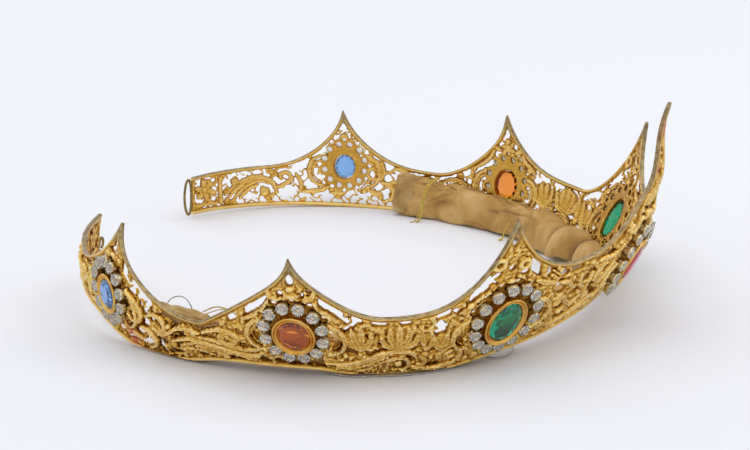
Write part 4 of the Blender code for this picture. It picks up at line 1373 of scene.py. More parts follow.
    def section(self, name: str, low: float, high: float, fields: tuple) -> Mesh:
        """Cut one section out of the grid and close it front, back and round every gap.

        Args:
            name: The section's name.
            low: Its first station.
            high: Its last station.
            fields: Outer and inner depth, cavity and wear on the grid.

        Returns:
            The section's mesh, bent round the head.
        """
        chart = self.chart
        i0, i1 = np.searchsorted(chart.s, (low - 1.2 * self.cell, high + 1.2 * self.cell))
        s = chart.s[i0:i1]
        inside = np.minimum(chart.metal[i0:i1], np.minimum(s - low, high - s)[:, None])
        rim = np.minimum(chart.from_top, chart.from_low)[i0:i1] < RIM_HEIGHT
        least = 0.02
        inside = np.where(np.abs(inside) < least, np.where(inside >= 0, least, -least), inside)
        inside = without_islands(inside, rim)
        grids = [np.broadcast_to(s[:, None], inside.shape), np.broadcast_to(chart.h[None], inside.shape)]
        grids += [f[i0:i1] for f in (*fields, self.back_tarnish_shade_and_highlight)]
        values, cells, walls = trace_cells(inside, grids)
        across, up, front, back, tarnish_shade_and_highlight, wear, back_tarnish_shade_and_highlight = values
        sway = np.where(np.abs(across) < 9, unit((up - 34) / 8), 0) * np.sin((up - 34) / 5.6)
        across = across + 0.55 * sway
        front = front + 0.9 * sway
        back = back + 0.9 * sway
        count = len(across)
        outer = FORM.place(across, front, up)
        inner = FORM.place(across, back, up)
        faces = cells + [f[:, ::-1] + count for f in cells]
        faces.append(np.stack([walls[:, 1], walls[:, 0], walls[:, 0] + count, walls[:, 1] + count], -1))
        mesh = mesh_from_arrays(name, np.concatenate([outer, inner]), faces, 50.0)
        # Tarnish, painted shade and painted highlight for the outer face, and the inner face's painted copy
        # of them.
        add_values(mesh, "tarnish_shade_and_highlight", np.concatenate([tarnish_shade_and_highlight, back_tarnish_shade_and_highlight]))
        add_values(mesh, "wear", np.concatenate([wear, wear]))
        stain = np.zeros(count)
        for s, h, size in STAINS:
            stain = np.maximum(stain, bell(across - s, size) * bell(up - h, 1.4 * size))
        add_values(mesh, "stain", np.concatenate([stain, stain]))
        return mesh

    def build(self, shop: Workshop) -> None:
        """Draw, pierce, chase and bend the band.

        Args:
            shop: The materials.
        """
        self.chart = Chart(self.cell)
        self.pierce()
        self.chase()
        self.pierce_lace()
        self.pierce_settings()
        self.fill()
        fields = self.depths()
        stops = (NEAR_END - 1, *self.joints, FAR_END + 1)
        for name, low, high in zip(self.names, stops, stops[1:]):
            mesh = self.section(name, low, high, fields)
            obj = shop.add(name, mesh, [shop.gilt], "gilt_brass")
            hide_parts("band")


def without_islands(inside: Array, rim: Array) -> Array:
    """Take away the bits of metal that no web joins to a rim.

    Args:
        inside: The value at each grid place, above zero on the metal.
        rim: Where the rims run.

    Returns:
        The values, below zero where the loose bits were.
    """
    solid = inside > 0
    joined = solid & rim
    while True:
        grown = joined.copy()
        grown[1:] |= joined[:-1]
        grown[:-1] |= joined[1:]
        grown[:, 1:] |= joined[:, :-1]
        grown[:, :-1] |= joined[:, 1:]
        grown &= solid
        if (grown == joined).all():
            return np.where(solid & ~joined, -0.1, inside)
        joined = grown


def trace_cells(inside: Array, grids: Sequence[Array]) -> tuple:
    """Fill a grid with faces up to the line where a value passes zero.

    Args:
        inside: The value at each grid place, above zero on the metal.
        grids: Other values at each grid place.

    Returns:
        The other values at every corner, the faces by length, and the edges of the outline.
    """
    solid = inside > 0
    ni, nj = inside.shape
    node = np.full((ni, nj), -1)
    node[solid] = np.arange(solid.sum())
    made = [g[solid] for g in grids]
    count = int(solid.sum())
    crossings = []
    for di, dj in ((1, 0), (0, 1)):
        a = (slice(0, ni - di), slice(0, nj - dj))
        b = (slice(di, ni), slice(dj, nj))
        crosses = solid[a] != solid[b]
        number = np.full(crosses.shape, -1)
        number[crosses] = count + np.arange(crosses.sum())
        count += int(crosses.sum())
        share = inside[a][crosses] / (inside[a][crosses] - inside[b][crosses])
        share = np.clip(share, 0.06, 0.94)
        added = [g[a][crosses] * (1 - share) + g[b][crosses] * share for g in grids]
        made = [np.concatenate(pair) for pair in zip(made, added)]
        crossings.append(number)
    level, rising = crossings
    ring = np.stack([
        node[:-1, :-1], level[:, :-1], node[1:, :-1], rising[1:, :],
        node[1:, 1:], level[:, 1:], node[:-1, 1:], rising[:-1, :],
    ], -1).reshape(-1, 8)
    kind = (ring[:, [0, 2, 4, 6]] >= 0) @ np.array([1, 2, 4, 8])
    faces: dict[int, list] = {}
    walls = []
    for case in range(1, 16):
        cells = ring[kind == case]
        if not len(cells):
            continue
        corner_lists = [[k for k in range(8) if cells[0][k] >= 0]]
        if case == 5:
            corner_lists = [[0, 1, 7], [4, 5, 3]]
        elif case == 10:
            corner_lists = [[2, 3, 1], [6, 7, 5]]
        for order in corner_lists:
            faces.setdefault(len(order), []).append(cells[:, order])
            for a, b in zip(order, order[1:] + order[:1]):
                if a % 2 and b % 2:
                    walls.append(cells[:, [a, b]])
    return made, [np.concatenate(f) for f in faces.values()], np.concatenate(walls)


def halo_places(peak: Peak) -> list[tuple[float, float, float]]:
    """Space the clear stones round a main stone.

    Args:
        peak: The point that carries them.

    Returns:
        Station, height and angle of each.
    """
    places = []
    for i in range(peak.clear_stones):
        around = 2 * pi * (i + 0.5) / peak.clear_stones
        s = peak.station + peak.halo_wide * cos(around)
        h = peak.stone_height + HALO_RAISE + HALO_SQUEEZE * peak.halo_high * sin(around)
        places.append((s, h, around))
    return places


def faceted(name: str, rings: Sequence[tuple[float, float]], sides: int, place: Callable) -> Mesh:
    """Cut a stone from its table to its back, with each ring turned half a facet.

    Args:
        name: The mesh's name.
        rings: Share of the full size and depth of each ring.
        sides: Facets round the stone.
        place: Turns share, depth and angle into a place.

    Returns:
        The stone's mesh.
    """
    bm = bmesh.new()
    loops = []
    for k, (share, depth) in enumerate(rings):
        angles = [2 * pi * (i + k / 2) / sides for i in range(sides)]
        loops.append([bm.verts.new(place(share, depth, angle)) for angle in angles])
    bm.faces.new(loops[0])
    bm.faces.new(loops[-1][::-1])
    for above, below in zip(loops, loops[1:]):
        for i in range(sides):
            after = (i + 1) % sides
            bm.faces.new((above[i], below[i], above[after]))
            bm.faces.new((above[after], below[i], below[after]))
    mesh = bpy.data.meshes.new(name)
    bm.to_mesh(mesh)
    bm.free()
    close_up(mesh)
    return mesh


@dataclass
class MainStone:
    """An oval cut stone in its tall gilt collet, open behind."""

    peak: Peak
    sides: int = 12
    collet_steps: int = 72
    rings: tuple = ((0.6, 4.1), (0.82, 3.7), (0.985, 3.0), (1.0, 2.75), (0.97, 1.4), (0.86, 0.35))
    # Distance beyond the stone's girdle and depth of each turn of the collet's wall.
    section: tuple = (
        (1.2, 0.6), (1.2, 2.1), (1.34, 2.3), (1.52, 2.6), (1.56, 2.95), (1.46, 3.28), (1.22, 3.48),
        (1.0, 3.42), (0.82, 3.14), (0.62, 2.86), (0.42, 2.8), (0.36, 3.02), (0.2, 3.12), (0.08, 3.0),
        (0.1, 2.5), (0.1, 1.4), (0.14, 0.6),
    )

    def build(self, shop: Workshop) -> None:
        """Cut the stone and turn its collet.

        Args:
            shop: The materials.
        """
        peak = self.peak
        matrix = FORM.frame(peak.station, peak.stone_height)
        mesh = faceted("paste_" + peak.name, self.rings, self.sides, self.stone_place)
        mesh.transform(matrix)
        close_up(mesh)
        slot = peak.colour.name.lower() + "_stone"
        stone = shop.add("paste_" + peak.name, mesh, [shop.stones[peak.colour]], slot)
        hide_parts("stone_" + peak.name)
        collet = shop.add("collet_" + peak.name, self.collet_mesh(matrix), [shop.collet], "gilt_brass")
        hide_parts("setting_" + peak.name)

    def stone_place(self, share: float, depth: float, angle: float) -> Vector:
        """Give a corner of the stone in millimetres about its middle."""
        wide = self.peak.half_width * share * cos(angle)
        return Vector((wide, depth, self.peak.half_height * share * sin(angle)))

    def collet_mesh(self, matrix: Matrix) -> Mesh:
        """Sweep the collet's section round its oval.

        Args:
            matrix: Turns millimetres about the stone's middle into a world place.

        Returns:
            The collet's mesh.
        """
        angles = full_turn(self.collet_steps)
        rows = []
        for beyond, depth in self.section:
            x = (self.peak.half_width + beyond) * np.cos(angles)
            z = (self.peak.half_height + beyond) * np.sin(angles)
            rows.append(np.stack([x, np.full_like(x, depth), z], -1))
        flat = np.concatenate(rows)
        turn = np.array(matrix.to_3x3())
        places = flat @ turn.T + np.array(matrix.translation)
        faces = ring_faces(len(self.section), self.collet_steps, True)
        return mesh_from_arrays("collet", places, [faces], 40.0)


def ring_faces(rows: int, steps: int, closed: bool) -> Array:
    """Join the rows of a swept ring with four-sided faces.

    Args:
        rows: How many rows there are.
        steps: Corners in each row.
        closed: Whether the last row joins the first.

    Returns:
        The corners of each face.
    """
    row = np.arange(rows if closed else rows - 1)
    step = np.arange(steps)
    a, b = np.meshgrid(row, step, indexing="ij")
    after_row = (a + 1) % rows
    after_step = (b + 1) % steps
    corners = (a * steps + b, a * steps + after_step, after_row * steps + after_step, after_row * steps + b)
    return np.stack(corners, -1).reshape(-1, 4)


class PointRepeater:
    """Repeats one small item on points with Geometry Nodes."""

    def __init__(self) -> None:
        """Build the node tree with named inputs for the item, its size and its finish."""
        tree = bpy.data.node_groups.new("repeat_on_points", "GeometryNodeTree")
        kinds = (
            ("Points", "NodeSocketGeometry"), ("Item", "NodeSocketObject"),
            ("Size", "NodeSocketFloat"), ("Finish", "NodeSocketMaterial"),
        )
        self.sockets = {}
        for name, kind in kinds:
            socket = tree.interface.new_socket(name, in_out="INPUT", socket_type=kind)
            self.sockets[name] = socket.identifier
        tree.interface.new_socket("Result", in_out="OUTPUT", socket_type="NodeSocketGeometry")
        given = tree.nodes.new("NodeGroupInput").outputs
        kind = "GeometryNodeInputNamedAttribute"
        facing, upward = (
            add_node(tree, kind, {"Name": name}, data_type="FLOAT_VECTOR").outputs["Attribute"]
            for name in ("facing", "upward")
        )
        turn = add_node(tree, "FunctionNodeAlignRotationToVector", {"Vector": facing}, axis="Z")
        inputs = {"Rotation": turn.outputs[0], "Vector": upward}
        turn = add_node(tree, "FunctionNodeAlignRotationToVector", inputs, axis="Y", pivot_axis="Z")
        model = add_node(tree, "GeometryNodeObjectInfo", {"Object": given["Item"]})
        inputs = {"Points": given["Points"], "Instance": model.outputs["Geometry"],
                  "Rotation": turn.outputs[0], "Scale": given["Size"]}
        many = add_node(tree, "GeometryNodeInstanceOnPoints", inputs)
        real = add_node(tree, "GeometryNodeRealizeInstances", {"Geometry": many.outputs[0]})
        inputs = {"Geometry": real.outputs[0], "Material": given["Finish"]}
        done = add_node(tree, "GeometryNodeSetMaterial", inputs)
        out = tree.nodes.new("NodeGroupOutput")
        tree.links.new(done.outputs[0], out.inputs[0])
        self.tree = tree

    def repeat(self, rows: Sequence[tuple], item: Mesh, size: float, finish: Material) -> Mesh:
        """Repeat an item as one plain mesh.

        Args:
            rows: For each point its place, the direction that the item's +Z faces, and the one of +Y.
            item: The item's mesh, about its own middle.
            size: Metres for each unit of the item.
            finish: The item's material.

        Returns:
            The repeated items as one mesh.
        """
        mesh = bpy.data.meshes.new("points")
        mesh.from_pydata([tuple(row[0]) for row in rows], [], [])
        for column, name in ((1, "facing"), (2, "upward")):
            layer = mesh.attributes.new(name, "FLOAT_VECTOR", "POINT")
            layer.data.foreach_set("vector", np.array([row[column] for row in rows], np.float32).ravel())
        model = new_object("item", item)
        carrier = new_object("points", mesh)
        modifier = carrier.modifiers.new("repeat", "NODES")
        modifier.node_group = self.tree
        for name, value in {"Item": model, "Size": size, "Finish": finish}.items():
            modifier[self.sockets[name]] = value
        made = plain_mesh(carrier)
        bpy.data.objects.remove(model)
        return made


def direction(start: Array, end: Array) -> Array:
    """Give the unit direction from one place to another."""
    return (end - start) / np.linalg.norm(end - start)


@dataclass
class Halo:
    """The ring of small clear stones in clawed cups round a main stone."""

    peak: Peak
    facets: int = 8
    cup_steps: int = 16
    base: float = 1.05

    def stone_mesh(self) -> Mesh:
        """Cut a round stone of 1 unit radius, its table towards +Z.

        Returns:
            The stone's mesh.
        """
        rings = ((0.55, 0.62), (0.82, 0.48), (1.0, 0.2), (0.62, -0.3), (0.1, -0.62))

        def place(share: float, depth: float, angle: float) -> Vector:
            """Give a corner of the stone."""
            return Vector((share * cos(angle), share * sin(angle), depth))

        return faceted("clear_stone_cut", rings, self.facets, place)

    def cup_mesh(self) -> Mesh:
        """Turn an open cup with four claws for a stone of 1 unit radius.

        Returns:
            The cup's mesh.
        """
        section = (
            (0.62, -0.98), (0.76, -0.9), (1.0, -0.1), (1.07, 0.16), (1.02, 0.3), (0.94, 0.16), (0.86, -0.2),
            (0.58, -0.7),
        )
        angles = full_turn(self.cup_steps)
        claw = np.maximum(0, np.cos(4 * angles)) ** 6
        rows = []
        for radius, height in section:
            lift = 0.32 * claw if height > 0 else 0 * claw
            pull = 1 - 0.1 * claw if height > 0.2 else 1.0
            wide = radius * pull
            rows.append(np.stack([wide * np.cos(angles), wide * np.sin(angles), height + lift], -1))
        faces = ring_faces(len(section), self.cup_steps, True)
        return mesh_from_arrays("clear_stone_cup", np.concatenate(rows), [faces], 50.0)

    def build(self, shop: Workshop, repeater: PointRepeater) -> None:
        """Set every stone of the halo square to the sheet.

        Args:
            shop: The materials.
            repeater: Repeats the stones and cups.
        """
        rows = []
        depth = self.base + 0.98 * CLEAR_RADIUS
        for s, h, around in halo_places(self.peak):
            seat = FORM.place(s, depth, h)
            side = FORM.place(s - 0.5 * sin(around), depth, h + 0.5 * cos(around))
            rows.append((seat, direction(FORM.place(s, 0.0, h), seat), direction(seat, side)))
        parts = (
            ("clear_stones_", self.stone_mesh(), shop.clear, "clear_stone"),
            ("clawed_cups_", self.cup_mesh(), shop.cup, "gilt_brass"),
        )
        for name, item, finish, slot in parts:
            made = repeater.repeat(rows, item, CLEAR_RADIUS * MM, finish)
            piece = shop.add(name + self.peak.name, made, [], slot)
            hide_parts("halo_" + self.peak.name)


def plain_mesh(carrier: bpy.types.Object) -> Mesh:
    """Turn an object with live modifiers or a curve into a plain mesh and remove the object.

    Args:
        carrier: The object.

    Returns:
        The plain mesh.
    """
    graph = bpy.context.evaluated_depsgraph_get()
    shown = carrier.evaluated_get(graph)
    mesh = bpy.data.meshes.new_from_object(shown, preserve_all_data_layers=True, depsgraph=graph)
    bpy.data.objects.remove(carrier)
    return mesh


@dataclass
class LeatherLining:
    """The stitched leather roll inside the lower band, with its cloth-wrapped ends."""

    knots: tuple = ((-136, 12.6), (-110, 11.0), (-60, 9.5), (60, 9.5), (110, 11.0), (139, 12.8))
    depth: float = 7.6
    offset: float = -0.5
    lift: float = 0.4
    lean: float = 0.8
    squareness: float = 0.7
    sections: int = 900
    sides: int = 84
    push: float = 2.4
    push_place: float = 46.0
    push_length: float = 15.0
    crease_round: float = 5.2
    crease_count: int = 230
    # Middle of the length with short slanting creases, and its half.
    fine_place: float = 30.0
    fine_reach: float = 52.0
    stitch_spacing: float = 5.2
    stitch_thick: float = 0.17
    stitch_reach: float = 1.1
    # Station, length, and shares by which the roll's height and depth swell or are nipped.
    bulges: tuple = (
        (55, 9, 0.06, 0.62), (42.5, 2.4, -0.16, -0.3), (24, 20, -0.42, -0.16), (65, 1.8, -0.14, -0.14),
        (76, 8, 0.16, 0.34), (88, 3, -0.06, -0.06), (112, 9, 0.06, 0.06), (126.5, 1.5, -0.08, -0.08),
    )
    # Station, height, depth and lift of the cloth wrapped round each end.
    far_wrap: tuple = (
        (136.2, 13.3, 8.1, -0.2), (139.5, 14, 8.5, -0.3), (143, 13.8, 8.2, -0.2), (144.6, 12.4, 6.6, 0.6),
    )
    near_wrap: tuple = (
        (-133, 13.4, 8.2, -0.2), (-138, 15, 8.8, -0.2), (-144, 15.4, 8, 0.2), (-150, 14.2, 6.4, 1.2),
        (-153.5, 10.2, 3.6, 4),
    )

    def build(self, shop: Workshop) -> None:
        """Args:
            shop: The materials.
        """
        tall_at = smooth_curve(self.knots)
        first, last = self.knots[0][0], self.knots[-1][0]
        s = np.linspace(first, last, self.sections)
        along, around = np.meshgrid(s, full_turn(self.sides), indexing="ij")
        press, crease_shade_and_seam = self.creases(along, around)
        end = np.minimum(along - first, last - along)
        close = dome(1 - unit(end / 1.1)) * 0.16 + 0.84
        tall = tall_at(along) / 2
        across = self.depth / 2 * squared(np.cos(around), self.squareness)
        rise = tall * squared(np.sin(around), self.squareness)
        taller, deeper = self.swell(along)
        shrink = close * (1 - press / 5.0)
        across = across * shrink * deeper
        up = tall * taller + rise * shrink * taller
        lean = FORM.low(along) * self.lean
        pushed = self.push * bell(along - self.push_place, self.push_length)
        inward = self.offset + pushed + self.depth / 2 * deeper + across - up * np.sin(lean) * self.lean
        height = np.maximum(self.lift + FORM.lift(along) + up, 0.1)
        places = FORM.beside(along.ravel(), inward.ravel(), height.ravel())
        faces = ring_faces(self.sections, self.sides, False)
        caps, cap_faces = self.end_caps(places)
        places = np.concatenate([places, caps])
        mesh = mesh_from_arrays("leather_roll", places, [faces, *cap_faces], 50.0)
        # Painted shade in the creases and nips and the dark seam line; the end caps a little darker.
        add_values(mesh, "crease_shade_and_seam", np.concatenate([crease_shade_and_seam.ravel(), np.full(len(caps), 0.15)]))
        obj = shop.add("leather_roll", mesh, [shop.leather], "leather")
        close_up(mesh)
        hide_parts("padding")
        self.sleeve(shop, "cloth_wrap_far", self.far_wrap)
        self.sleeve(shop, "cloth_wrap_near", self.near_wrap)

    def stitch(self, shop: Workshop, repeater: PointRepeater) -> None:
        """Sew the roll to the pierced band with a row of whip stitches along its upper edge.

        Args:
            shop: The materials.
            repeater: Repeats the stitch.
        """
        steps, sides = 12, 6
        arc = np.linspace(-0.15 * pi, 1.15 * pi, steps)
        turn, around = np.meshgrid(arc, full_turn(sides), indexing="ij")
        away = 1 + self.stitch_thick * np.cos(around)
        places = [self.stitch_thick * np.sin(around), away * np.cos(turn), 0.6 * away * np.sin(turn)]
        places = np.stack(places, -1).reshape(-1, 3)
        item = mesh_from_arrays("whip_stitch", places, [ring_faces(steps, sides, False)], None)
        close_up(item, fill=True)
        tall_at = smooth_curve(self.knots)
        rng = np.random.default_rng(SEED + 4)
        rows = []
        for s in np.arange(self.knots[0][0] + 5, self.knots[-1][0] - 4, self.stitch_spacing):
            s = float(s + rng.uniform(-0.7, 0.7))
            up = float(tall_at(s) * self.swell(np.array(s))[0])
            lean = float(FORM.low(s)) * self.lean
            inward = self.offset + 1.3 - up * sin(lean) * self.lean
            height = self.lift + float(FORM.lift(s)) + up - 0.35
            seat = FORM.beside(s, inward, height)
            slant = rng.uniform(0.2, 0.7)
            ahead = direction(seat, FORM.beside(s + slant, inward + 1, height))
            rows.append((seat, np.array((0.0, 0.0, 1.0)), ahead))
        made = repeater.repeat(rows, item, self.stitch_reach * MM, shop.thread)
        shop.add("whip_stitches", made, [], "leather")

    def swell(self, along: Array) -> tuple[Array, Array]:
        """Give the roll its stuffing: full in places, nipped where a stitch pulls it in.

        Args:
            along: Stations along the roll.

        Returns:
            How many times its plain height and depth it has at each.
        """
        taller = np.ones_like(along)
        deeper = np.ones_like(along)
        for s, width, higher, thicker in self.bulges:
            shape = bell(along - s, width)
            taller = taller + higher * shape
            deeper = deeper + thicker * shape
        return taller, deeper

    def sleeve(self, shop: Workshop, name: str, rows: Sequence[tuple[float, float, float, float]]) -> None:
        """Wrap an end of the roll in a folded strip of cloth.

        Args:
            shop: The materials.
            name: The piece's name.
            rows: Station, height, depth and lift of the wrap along its length.
        """
        knots = np.array(rows, float)
        run = np.linspace(0, len(rows) - 1, 60)
        along, tall, depth, lift = (np.interp(run, np.arange(len(rows)), column) for column in knots.T)
        turn, share = np.meshgrid(full_turn(self.sides), run, indexing="xy")
        fold = 0.22 * np.sin(5 * turn + 2.1 * share) + 0.14 * np.sin(11 * turn - 1.3 * share)
        fold += 0.1 * np.sin(17 * turn + 5 * share)
        size = 1 + fold / 6
        across = depth[:, None] / 2 * squared(np.cos(turn), 0.8) * size
        up = tall[:, None] / 2 * (1 + squared(np.sin(turn), 0.8) * size)
        station = along[:, None] + 0.35 * np.sin(3 * turn + share)
        lean = FORM.low(station) * self.lean
        inward = self.offset + self.depth / 2 + across - up * np.sin(lean) * self.lean
        height = np.maximum(self.lift + FORM.lift(station) + lift[:, None] + up, 0.15)
        places = FORM.beside(station.ravel(), inward.ravel(), height.ravel())
        mesh = mesh_from_arrays(name, places, [ring_faces(len(run), self.sides, False)], None)
        close_up(mesh, fill=True)
        # Painted shade in the hollows of the cloth's folds.
        add_values(mesh, "crease_shade_and_seam", 0.5 * np.clip(-fold.ravel(), 0, 0.4))
        piece = shop.add(name, mesh, [shop.cloth], "leather")

    def creases(self, along: Array, around: Array) -> tuple[Array, Array]:
        """Press folds into the roll, and paint shade into them.

        Args:
            along: Station of each place.
            around: Angle of each place round the roll.

        Returns:
            How far each place is pressed in, in millimetres, and how much painted shade darkens it.
        """
        rng = np.random.default_rng(SEED + 1)
        radius = self.crease_round
        arc = around * radius
        press = 0.22 * np.sin(along / 7.3 + 1.2 * np.sin(around + along / 31))
        press += 0.16 * np.sin(along / 3.1 + 2 * around)
        press += 0.1 * np.sin(along / 1.7 - 3 * around + np.sin(along / 13))
        dark = np.zeros_like(press)
        for _ in range(self.crease_count):
            s = rng.uniform(self.knots[0][0], self.knots[-1][0])
            a = rng.uniform(0, 2 * pi) * radius
            fine = abs(s - self.fine_place) < self.fine_reach
            slant = rng.uniform(-0.45, 0.45) + (rng.choice((-1.4, 1.4)) if fine else 0)
            length = rng.uniform(1.2, 2.6) if fine else rng.uniform(3.0, 13.0)
            width = rng.uniform(0.25, 0.55)
            sharp = rng.uniform(0.03, 0.14) if fine else rng.uniform(0.12, 0.46)
            u, v = cos(slant), sin(slant)
            gap = np.mod(arc - a + pi * radius, 2 * pi * radius) - pi * radius
            run = (along - s) * u + gap * v
            off = -(along - s) * v + gap * u + 0.08 * run**2 / length
            shape = sharp * bell(run, length)
            press += shape * (bell(off, width) - 0.5 * bell(off - 2 * width, 1.4 * width))
            # Painted shade along the crease's hollow.
            dark += 0.7 * shape * bell(off, 0.8 * width)
        # Painted shade where a stitch nips the roll in.
        for s, width, higher, _ in self.bulges:
            if higher < -0.1 and width < 3:
                dark += 0.4 * bell(along - s, 0.7 * width)
        seam = bell(np.mod(around, 2 * pi) - 1.35 * pi, 0.07)
        press += 0.5 * seam
        dark += 0.3 * seam
        return press, np.clip(dark, 0, 0.6)

    def end_caps(self, places: Array) -> tuple[Array, list[Array]]:
        """Close both ends of the roll.

        Args:
            places: The roll's corners.

        Returns:
            The caps' own corners, and their faces.
        """
        caps, faces = [], []
        base = len(places)
        for k, first in enumerate((0, (self.sections - 1) * self.sides)):
            rim = places[first : first + self.sides]
            middle = rim.mean(0)
            inner = middle + (rim - middle) * 0.55
            start = base + k * (self.sides + 1)
            caps += [inner, middle[None]]
            a = first + np.arange(self.sides)
            b = start + np.arange(self.sides)
            quads = np.stack([a, np.roll(a, -1), np.roll(b, -1), b], -1)
            fan = np.stack([b, np.roll(b, -1), np.full(self.sides, start + self.sides)], -1)
            faces += [quads, fan]
        return np.concatenate(caps), faces


@dataclass(frozen=True)
class Strand:
    """A thread or a thin wire: its places as station, distance inward and height."""

    name: str
    radius: float
    places: tuple[tuple[float, float, float], ...]
    closed: bool = False


THREADS = (
    Strand("thread_far", 0.32, (
        (128.4, -0.6, 14.2), (128.4, 2.4, 14.1), (128.6, 5.8, 13.2), (129.2, 7.6, 11),
        (129.8, 8.4, 7.4), (130.6, 8.6, 3.6), (131.2, 9.2, 1), (131.8, 10.8, 0.35),
    )),
    Strand("thread_far_second", 0.2, (
        (129.2, -0.4, 14.3), (129.4, 3, 14.1), (129.6, 6.2, 13), (130, 7.9, 10.2), (130.8, 8.5, 6),
        (131.8, 8.8, 2.4), (133, 10, 0.4), (133.8, 11.6, 0.3),
    )),
    Strand("thread_far_loose", 0.13, (
        (121, 1, 13.4), (120, 4.6, 13.9), (122, 7, 12), (125, 8.2, 10.2),
    )),
    Strand("thread_middle", 0.3, (
        (88.6, 7.4, 6.8), (90, 8.3, 3.6), (91, 8.7, 0.8), (91.8, 9.8, 0.35),
    )),
    Strand("thread_tuft", 0.2, ((79.5, 5.4, 10.9), (77.8, 7, 11.2), (76, 8.6, 10))),
    Strand("thread_near", 0.2, (
        (-138, 5, 13.4), (-134, 6.4, 15), (-129.5, 7.2, 14.2), (-126, 7.6, 12),
    )),
    Strand("thread_near_second", 0.16, (
        (-136.5, 3.6, 13.2), (-131, 4.6, 15.2), (-126.5, 6.8, 14.6), (-122.5, 8.4, 11.4),
    )),
)
WIRES = (
    Strand("wire_under_orange", 0.22, (
        (-96, -1.2, 0.8), (-90.8, -2.9, 0.5), (-82.8, -3.2, 0.4), (-74, -3.4, 0.4), (-64.8, -2.2, 0.5),
        (-58, -0.6, 1.2),
    )),
    Strand("wire_under_green", 0.2, (
        (-66, -1.4, 0.4), (-62, 1.2, 0.4), (-56, 1.6, 0.4), (-52.5, 2, 0.4), (-49, 2.6, 0.4),
        (-46, 5, 0.4), (-40, 6.5, 0.6),
    )),
    Strand("wire_loop_green", 0.18, (
        (-48, 4, 0.3), (-48.4, 1.4, 0.3), (-45.4, -0.4, 0.3), (-41.6, 0.8, 0.3), (-38, 3.8, 0.4),
        (-38, 6.5, 0.6), (-42.4, 7.6, 0.6), (-46.4, 6.4, 0.4),
    ), True),
    Strand("wire_near_wrap", 0.16, (
        (-154, 4, 6), (-152.8, 5.4, 13.4), (-149.4, 6.4, 15.8), (-146.4, 7.4, 15), (-144.6, 8.2, 11),
        (-144, 8.8, 6),
    )),
)


class Trimmings:
    """The loose threads, the thin wires, the end loop and the hook."""

    def __init__(self, shop: Workshop) -> None:
        """Keep the materials."""
        self.shop = shop

    def tube(self, name: str, places: Array, radius: float, closed: bool) -> Mesh:
        """Run a thin tube along a line.

        Args:
            name: The mesh's name.
            places: World places on the line.
            radius: The tube's radius in millimetres.
            closed: Whether its ends meet.

        Returns:
            The tube's mesh.
        """
        curve = bpy.data.curves.new(name, "CURVE")
        curve.dimensions = "3D"
        curve.bevel_depth = radius * MM
        curve.bevel_resolution = 3
        curve.use_fill_caps = True
        spline = curve.splines.new("POLY")
        spline.points.add(len(places) - 1)
        for point, place in zip(spline.points, places):
            point.co = (*place, 1.0)
        spline.use_cyclic_u = closed
        mesh = plain_mesh(new_object(name, curve))
        close_up(mesh, merge=1e-6)
        mesh.shade_smooth()
        return mesh

    def strand(self, strand: Strand, material: Material, slot: str) -> None:
        """Lay one thread or wire.

        Args:
            strand: Its name, radius and places.
            material: Its material.
            slot: The record's material slot.
        """
        flat = np.array(strand.places, float)
        if strand.closed:
            flat = np.concatenate([flat, flat[:1]])
        flat = smooth_line(flat, 8)
        if strand.closed:
            flat = flat[:-1]
        places = FORM.beside(flat[:, 0], flat[:, 1], flat[:, 2])
        places[:, 2] = np.maximum(places[:, 2], strand.radius * MM)
        mesh = self.tube(strand.name, places, strand.radius, strand.closed)
        self.shop.add(strand.name, mesh, [material], slot)

    def end_loop(self) -> None:
        """Bend the tall loop at the far end and the hook at the near end."""
        gap, wire, half, middle = -0.2, 0.45, 1.5, END_HEIGHT / 2
        angles = np.linspace(0, 2 * pi, 49)[:-1]
        along = FAR_END + gap + wire + half + half * np.cos(angles)
        places = FORM.place(along, np.full_like(angles, 0.5), middle + middle * 0.95 * np.sin(angles))
        finish = [self.shop.brass_wire]
        loop = self.shop.add("wire_end_loop", self.tube("loop", places, wire, True), finish, "gilt_brass")
        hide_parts("end_loop")
        radius = 1.6
        angles = np.linspace(0, 1.5 * pi, 28)
        along = np.concatenate([[NEAR_END + 1.4], NEAR_END - gap - wire - radius + radius * np.cos(angles)])
        above = np.concatenate([[2.6], 3.0 + radius * np.sin(angles)])
        places = FORM.place(along, np.full_like(along, 0.5), above)
        hook = self.shop.add("wire_end_hook", self.tube("hook", places, wire, False), finish, "gilt_brass")
        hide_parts("end_hook")

    def build(self) -> None:
        """Lay every thread and wire."""
        for strand in THREADS:
            self.strand(strand, self.shop.thread, "leather")
        for strand in WIRES:
            self.strand(strand, self.shop.wire, "gilt_brass")
        self.end_loop()


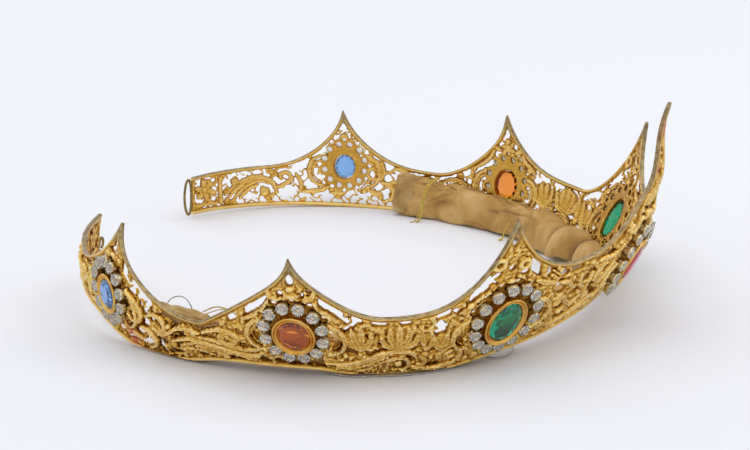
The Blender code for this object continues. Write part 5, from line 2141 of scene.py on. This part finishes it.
@dataclass
class Studio:
    """A pale seamless floor, soft light and the camera."""

    floor_colour: str = "#ECEDF0"
    floor_reach: float = 6.0
    floor_roughness: float = 0.9
    floor_gloss: float = 0.2
    sky_colour: str = "#F4F5FA"
    sky_strength: float = 0.88
    # Each soft light's name, place, aim, side in metres and power in watts.
    lights: tuple = (
        ("overhead", (0.0, -0.05, 1.2), (0.0, 0.0, 0.0), 1.6, 3.7),
        ("fill", (0.6, -0.8, 0.75), (0.1, -0.1, 0.0), 0.9, 1.6),
        ("window", (-0.7, -0.5, 1.0), (0.0, 0.0, 0.02), 0.8, 0.9),
        ("rim", (0.5, 0.9, 0.6), (0.0, 0.0, 0.02), 0.5, 0.8),
    )
    place: tuple[float, float, float] = (-0.555478, -0.238679, 0.203399)
    aim: tuple[float, float, float] = (-0.042119, -0.017337, 0.035231)
    lens: float = 96.12
    roll: float = -1.209

    def build(self) -> None:
        """Set the floor, the lights and the camera."""
        scene = bpy.context.scene
        scene.view_settings.view_transform = "Standard"
        mesh = bpy.data.meshes.new("floor")
        far = self.floor_reach
        corners = [(-far, -far, 0), (far, -far, 0), (far, far, 0), (-far, far, 0)]
        mesh.from_pydata(corners, [], [(0, 1, 2, 3)])
        floor = new_object("floor", mesh)
        material, _, surface = new_material("seamless_paper")
        set_inputs(surface, {
            "Base Color": linear(self.floor_colour), "Roughness": self.floor_roughness,
            "Specular IOR Level": self.floor_gloss,
        })
        mesh.materials.append(material)
        floor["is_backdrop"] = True
        world = bpy.data.worlds.new("studio")
        world.use_nodes = True
        sky = world.node_tree.nodes["Background"]
        set_inputs(sky, {"Color": linear(self.sky_colour), "Strength": self.sky_strength})
        scene.world = world
        for row in self.lights:
            self.light(*row)
        self.camera(scene)

    def light(
        self, name: str, place: Sequence[float], aim: Sequence[float], size: float, power: float
    ) -> None:
        """Hang one soft square light.

        Args:
            name: Its name.
            place: Where it hangs, in metres.
            aim: The place that it faces.
            size: Its side in metres.
            power: Its power in watts.
        """
        lamp = bpy.data.lights.new(name, "AREA")
        lamp.shape = "SQUARE"
        lamp.size = size
        lamp.energy = power
        obj = new_object(name, lamp)
        obj.location = place
        obj.rotation_euler = (Vector(aim) - Vector(place)).to_track_quat("-Z", "Y").to_euler()

    def camera(self, scene: bpy.types.Scene) -> None:
        """Stand the camera where the photograph was taken from.

        Args:
            scene: The scene.
        """
        data = bpy.data.cameras.new("camera")
        data.lens = self.lens
        data.sensor_width = 36.0
        data.clip_start = 0.01
        forward = (Vector(self.aim) - Vector(self.place)).normalized()
        level = forward.cross(Vector((0, 0, 1))).normalized()
        above = level.cross(forward)
        turn = radians(self.roll)
        right = cos(turn) * level + sin(turn) * above
        up = -sin(turn) * level + cos(turn) * above
        matrix = Matrix((right, up, -forward)).transposed().to_4x4()
        matrix.translation = Vector(self.place)
        obj = new_object("camera", data)
        obj.matrix_world = matrix
        scene.camera = obj


def write_sizes(before: tuple[Vector, Vector]) -> None:
    """Write the frame's box and the dressed tiara's box.

    Args:
        before: The frame's lowest and highest corner.
    """
    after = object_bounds()
    for name, (low, high) in (("cad", before), ("visual", after)):
        log.info("%s box %s", name, [round((b - a) / MM, 1) for a, b in zip(low, high)])


def main() -> None:
    """Build every piece of the tiara in order and report each."""
    logging.basicConfig(level=logging.INFO, format="%(message)s")
    for obj in list(bpy.data.objects):
        bpy.data.objects.remove(obj)
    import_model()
    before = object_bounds()
    Studio().build()
    shop = Workshop()
    ChasedBand().build(shop)
    repeater = PointRepeater()
    for peak in PEAKS:
        MainStone(peak).build(shop)
        Halo(peak).build(shop, repeater)
    lining = LeatherLining()
    lining.build(shop)
    lining.stitch(shop, repeater)
    Trimmings(shop).build()
    write_sizes(before)


if __name__ == "__main__":
    main()
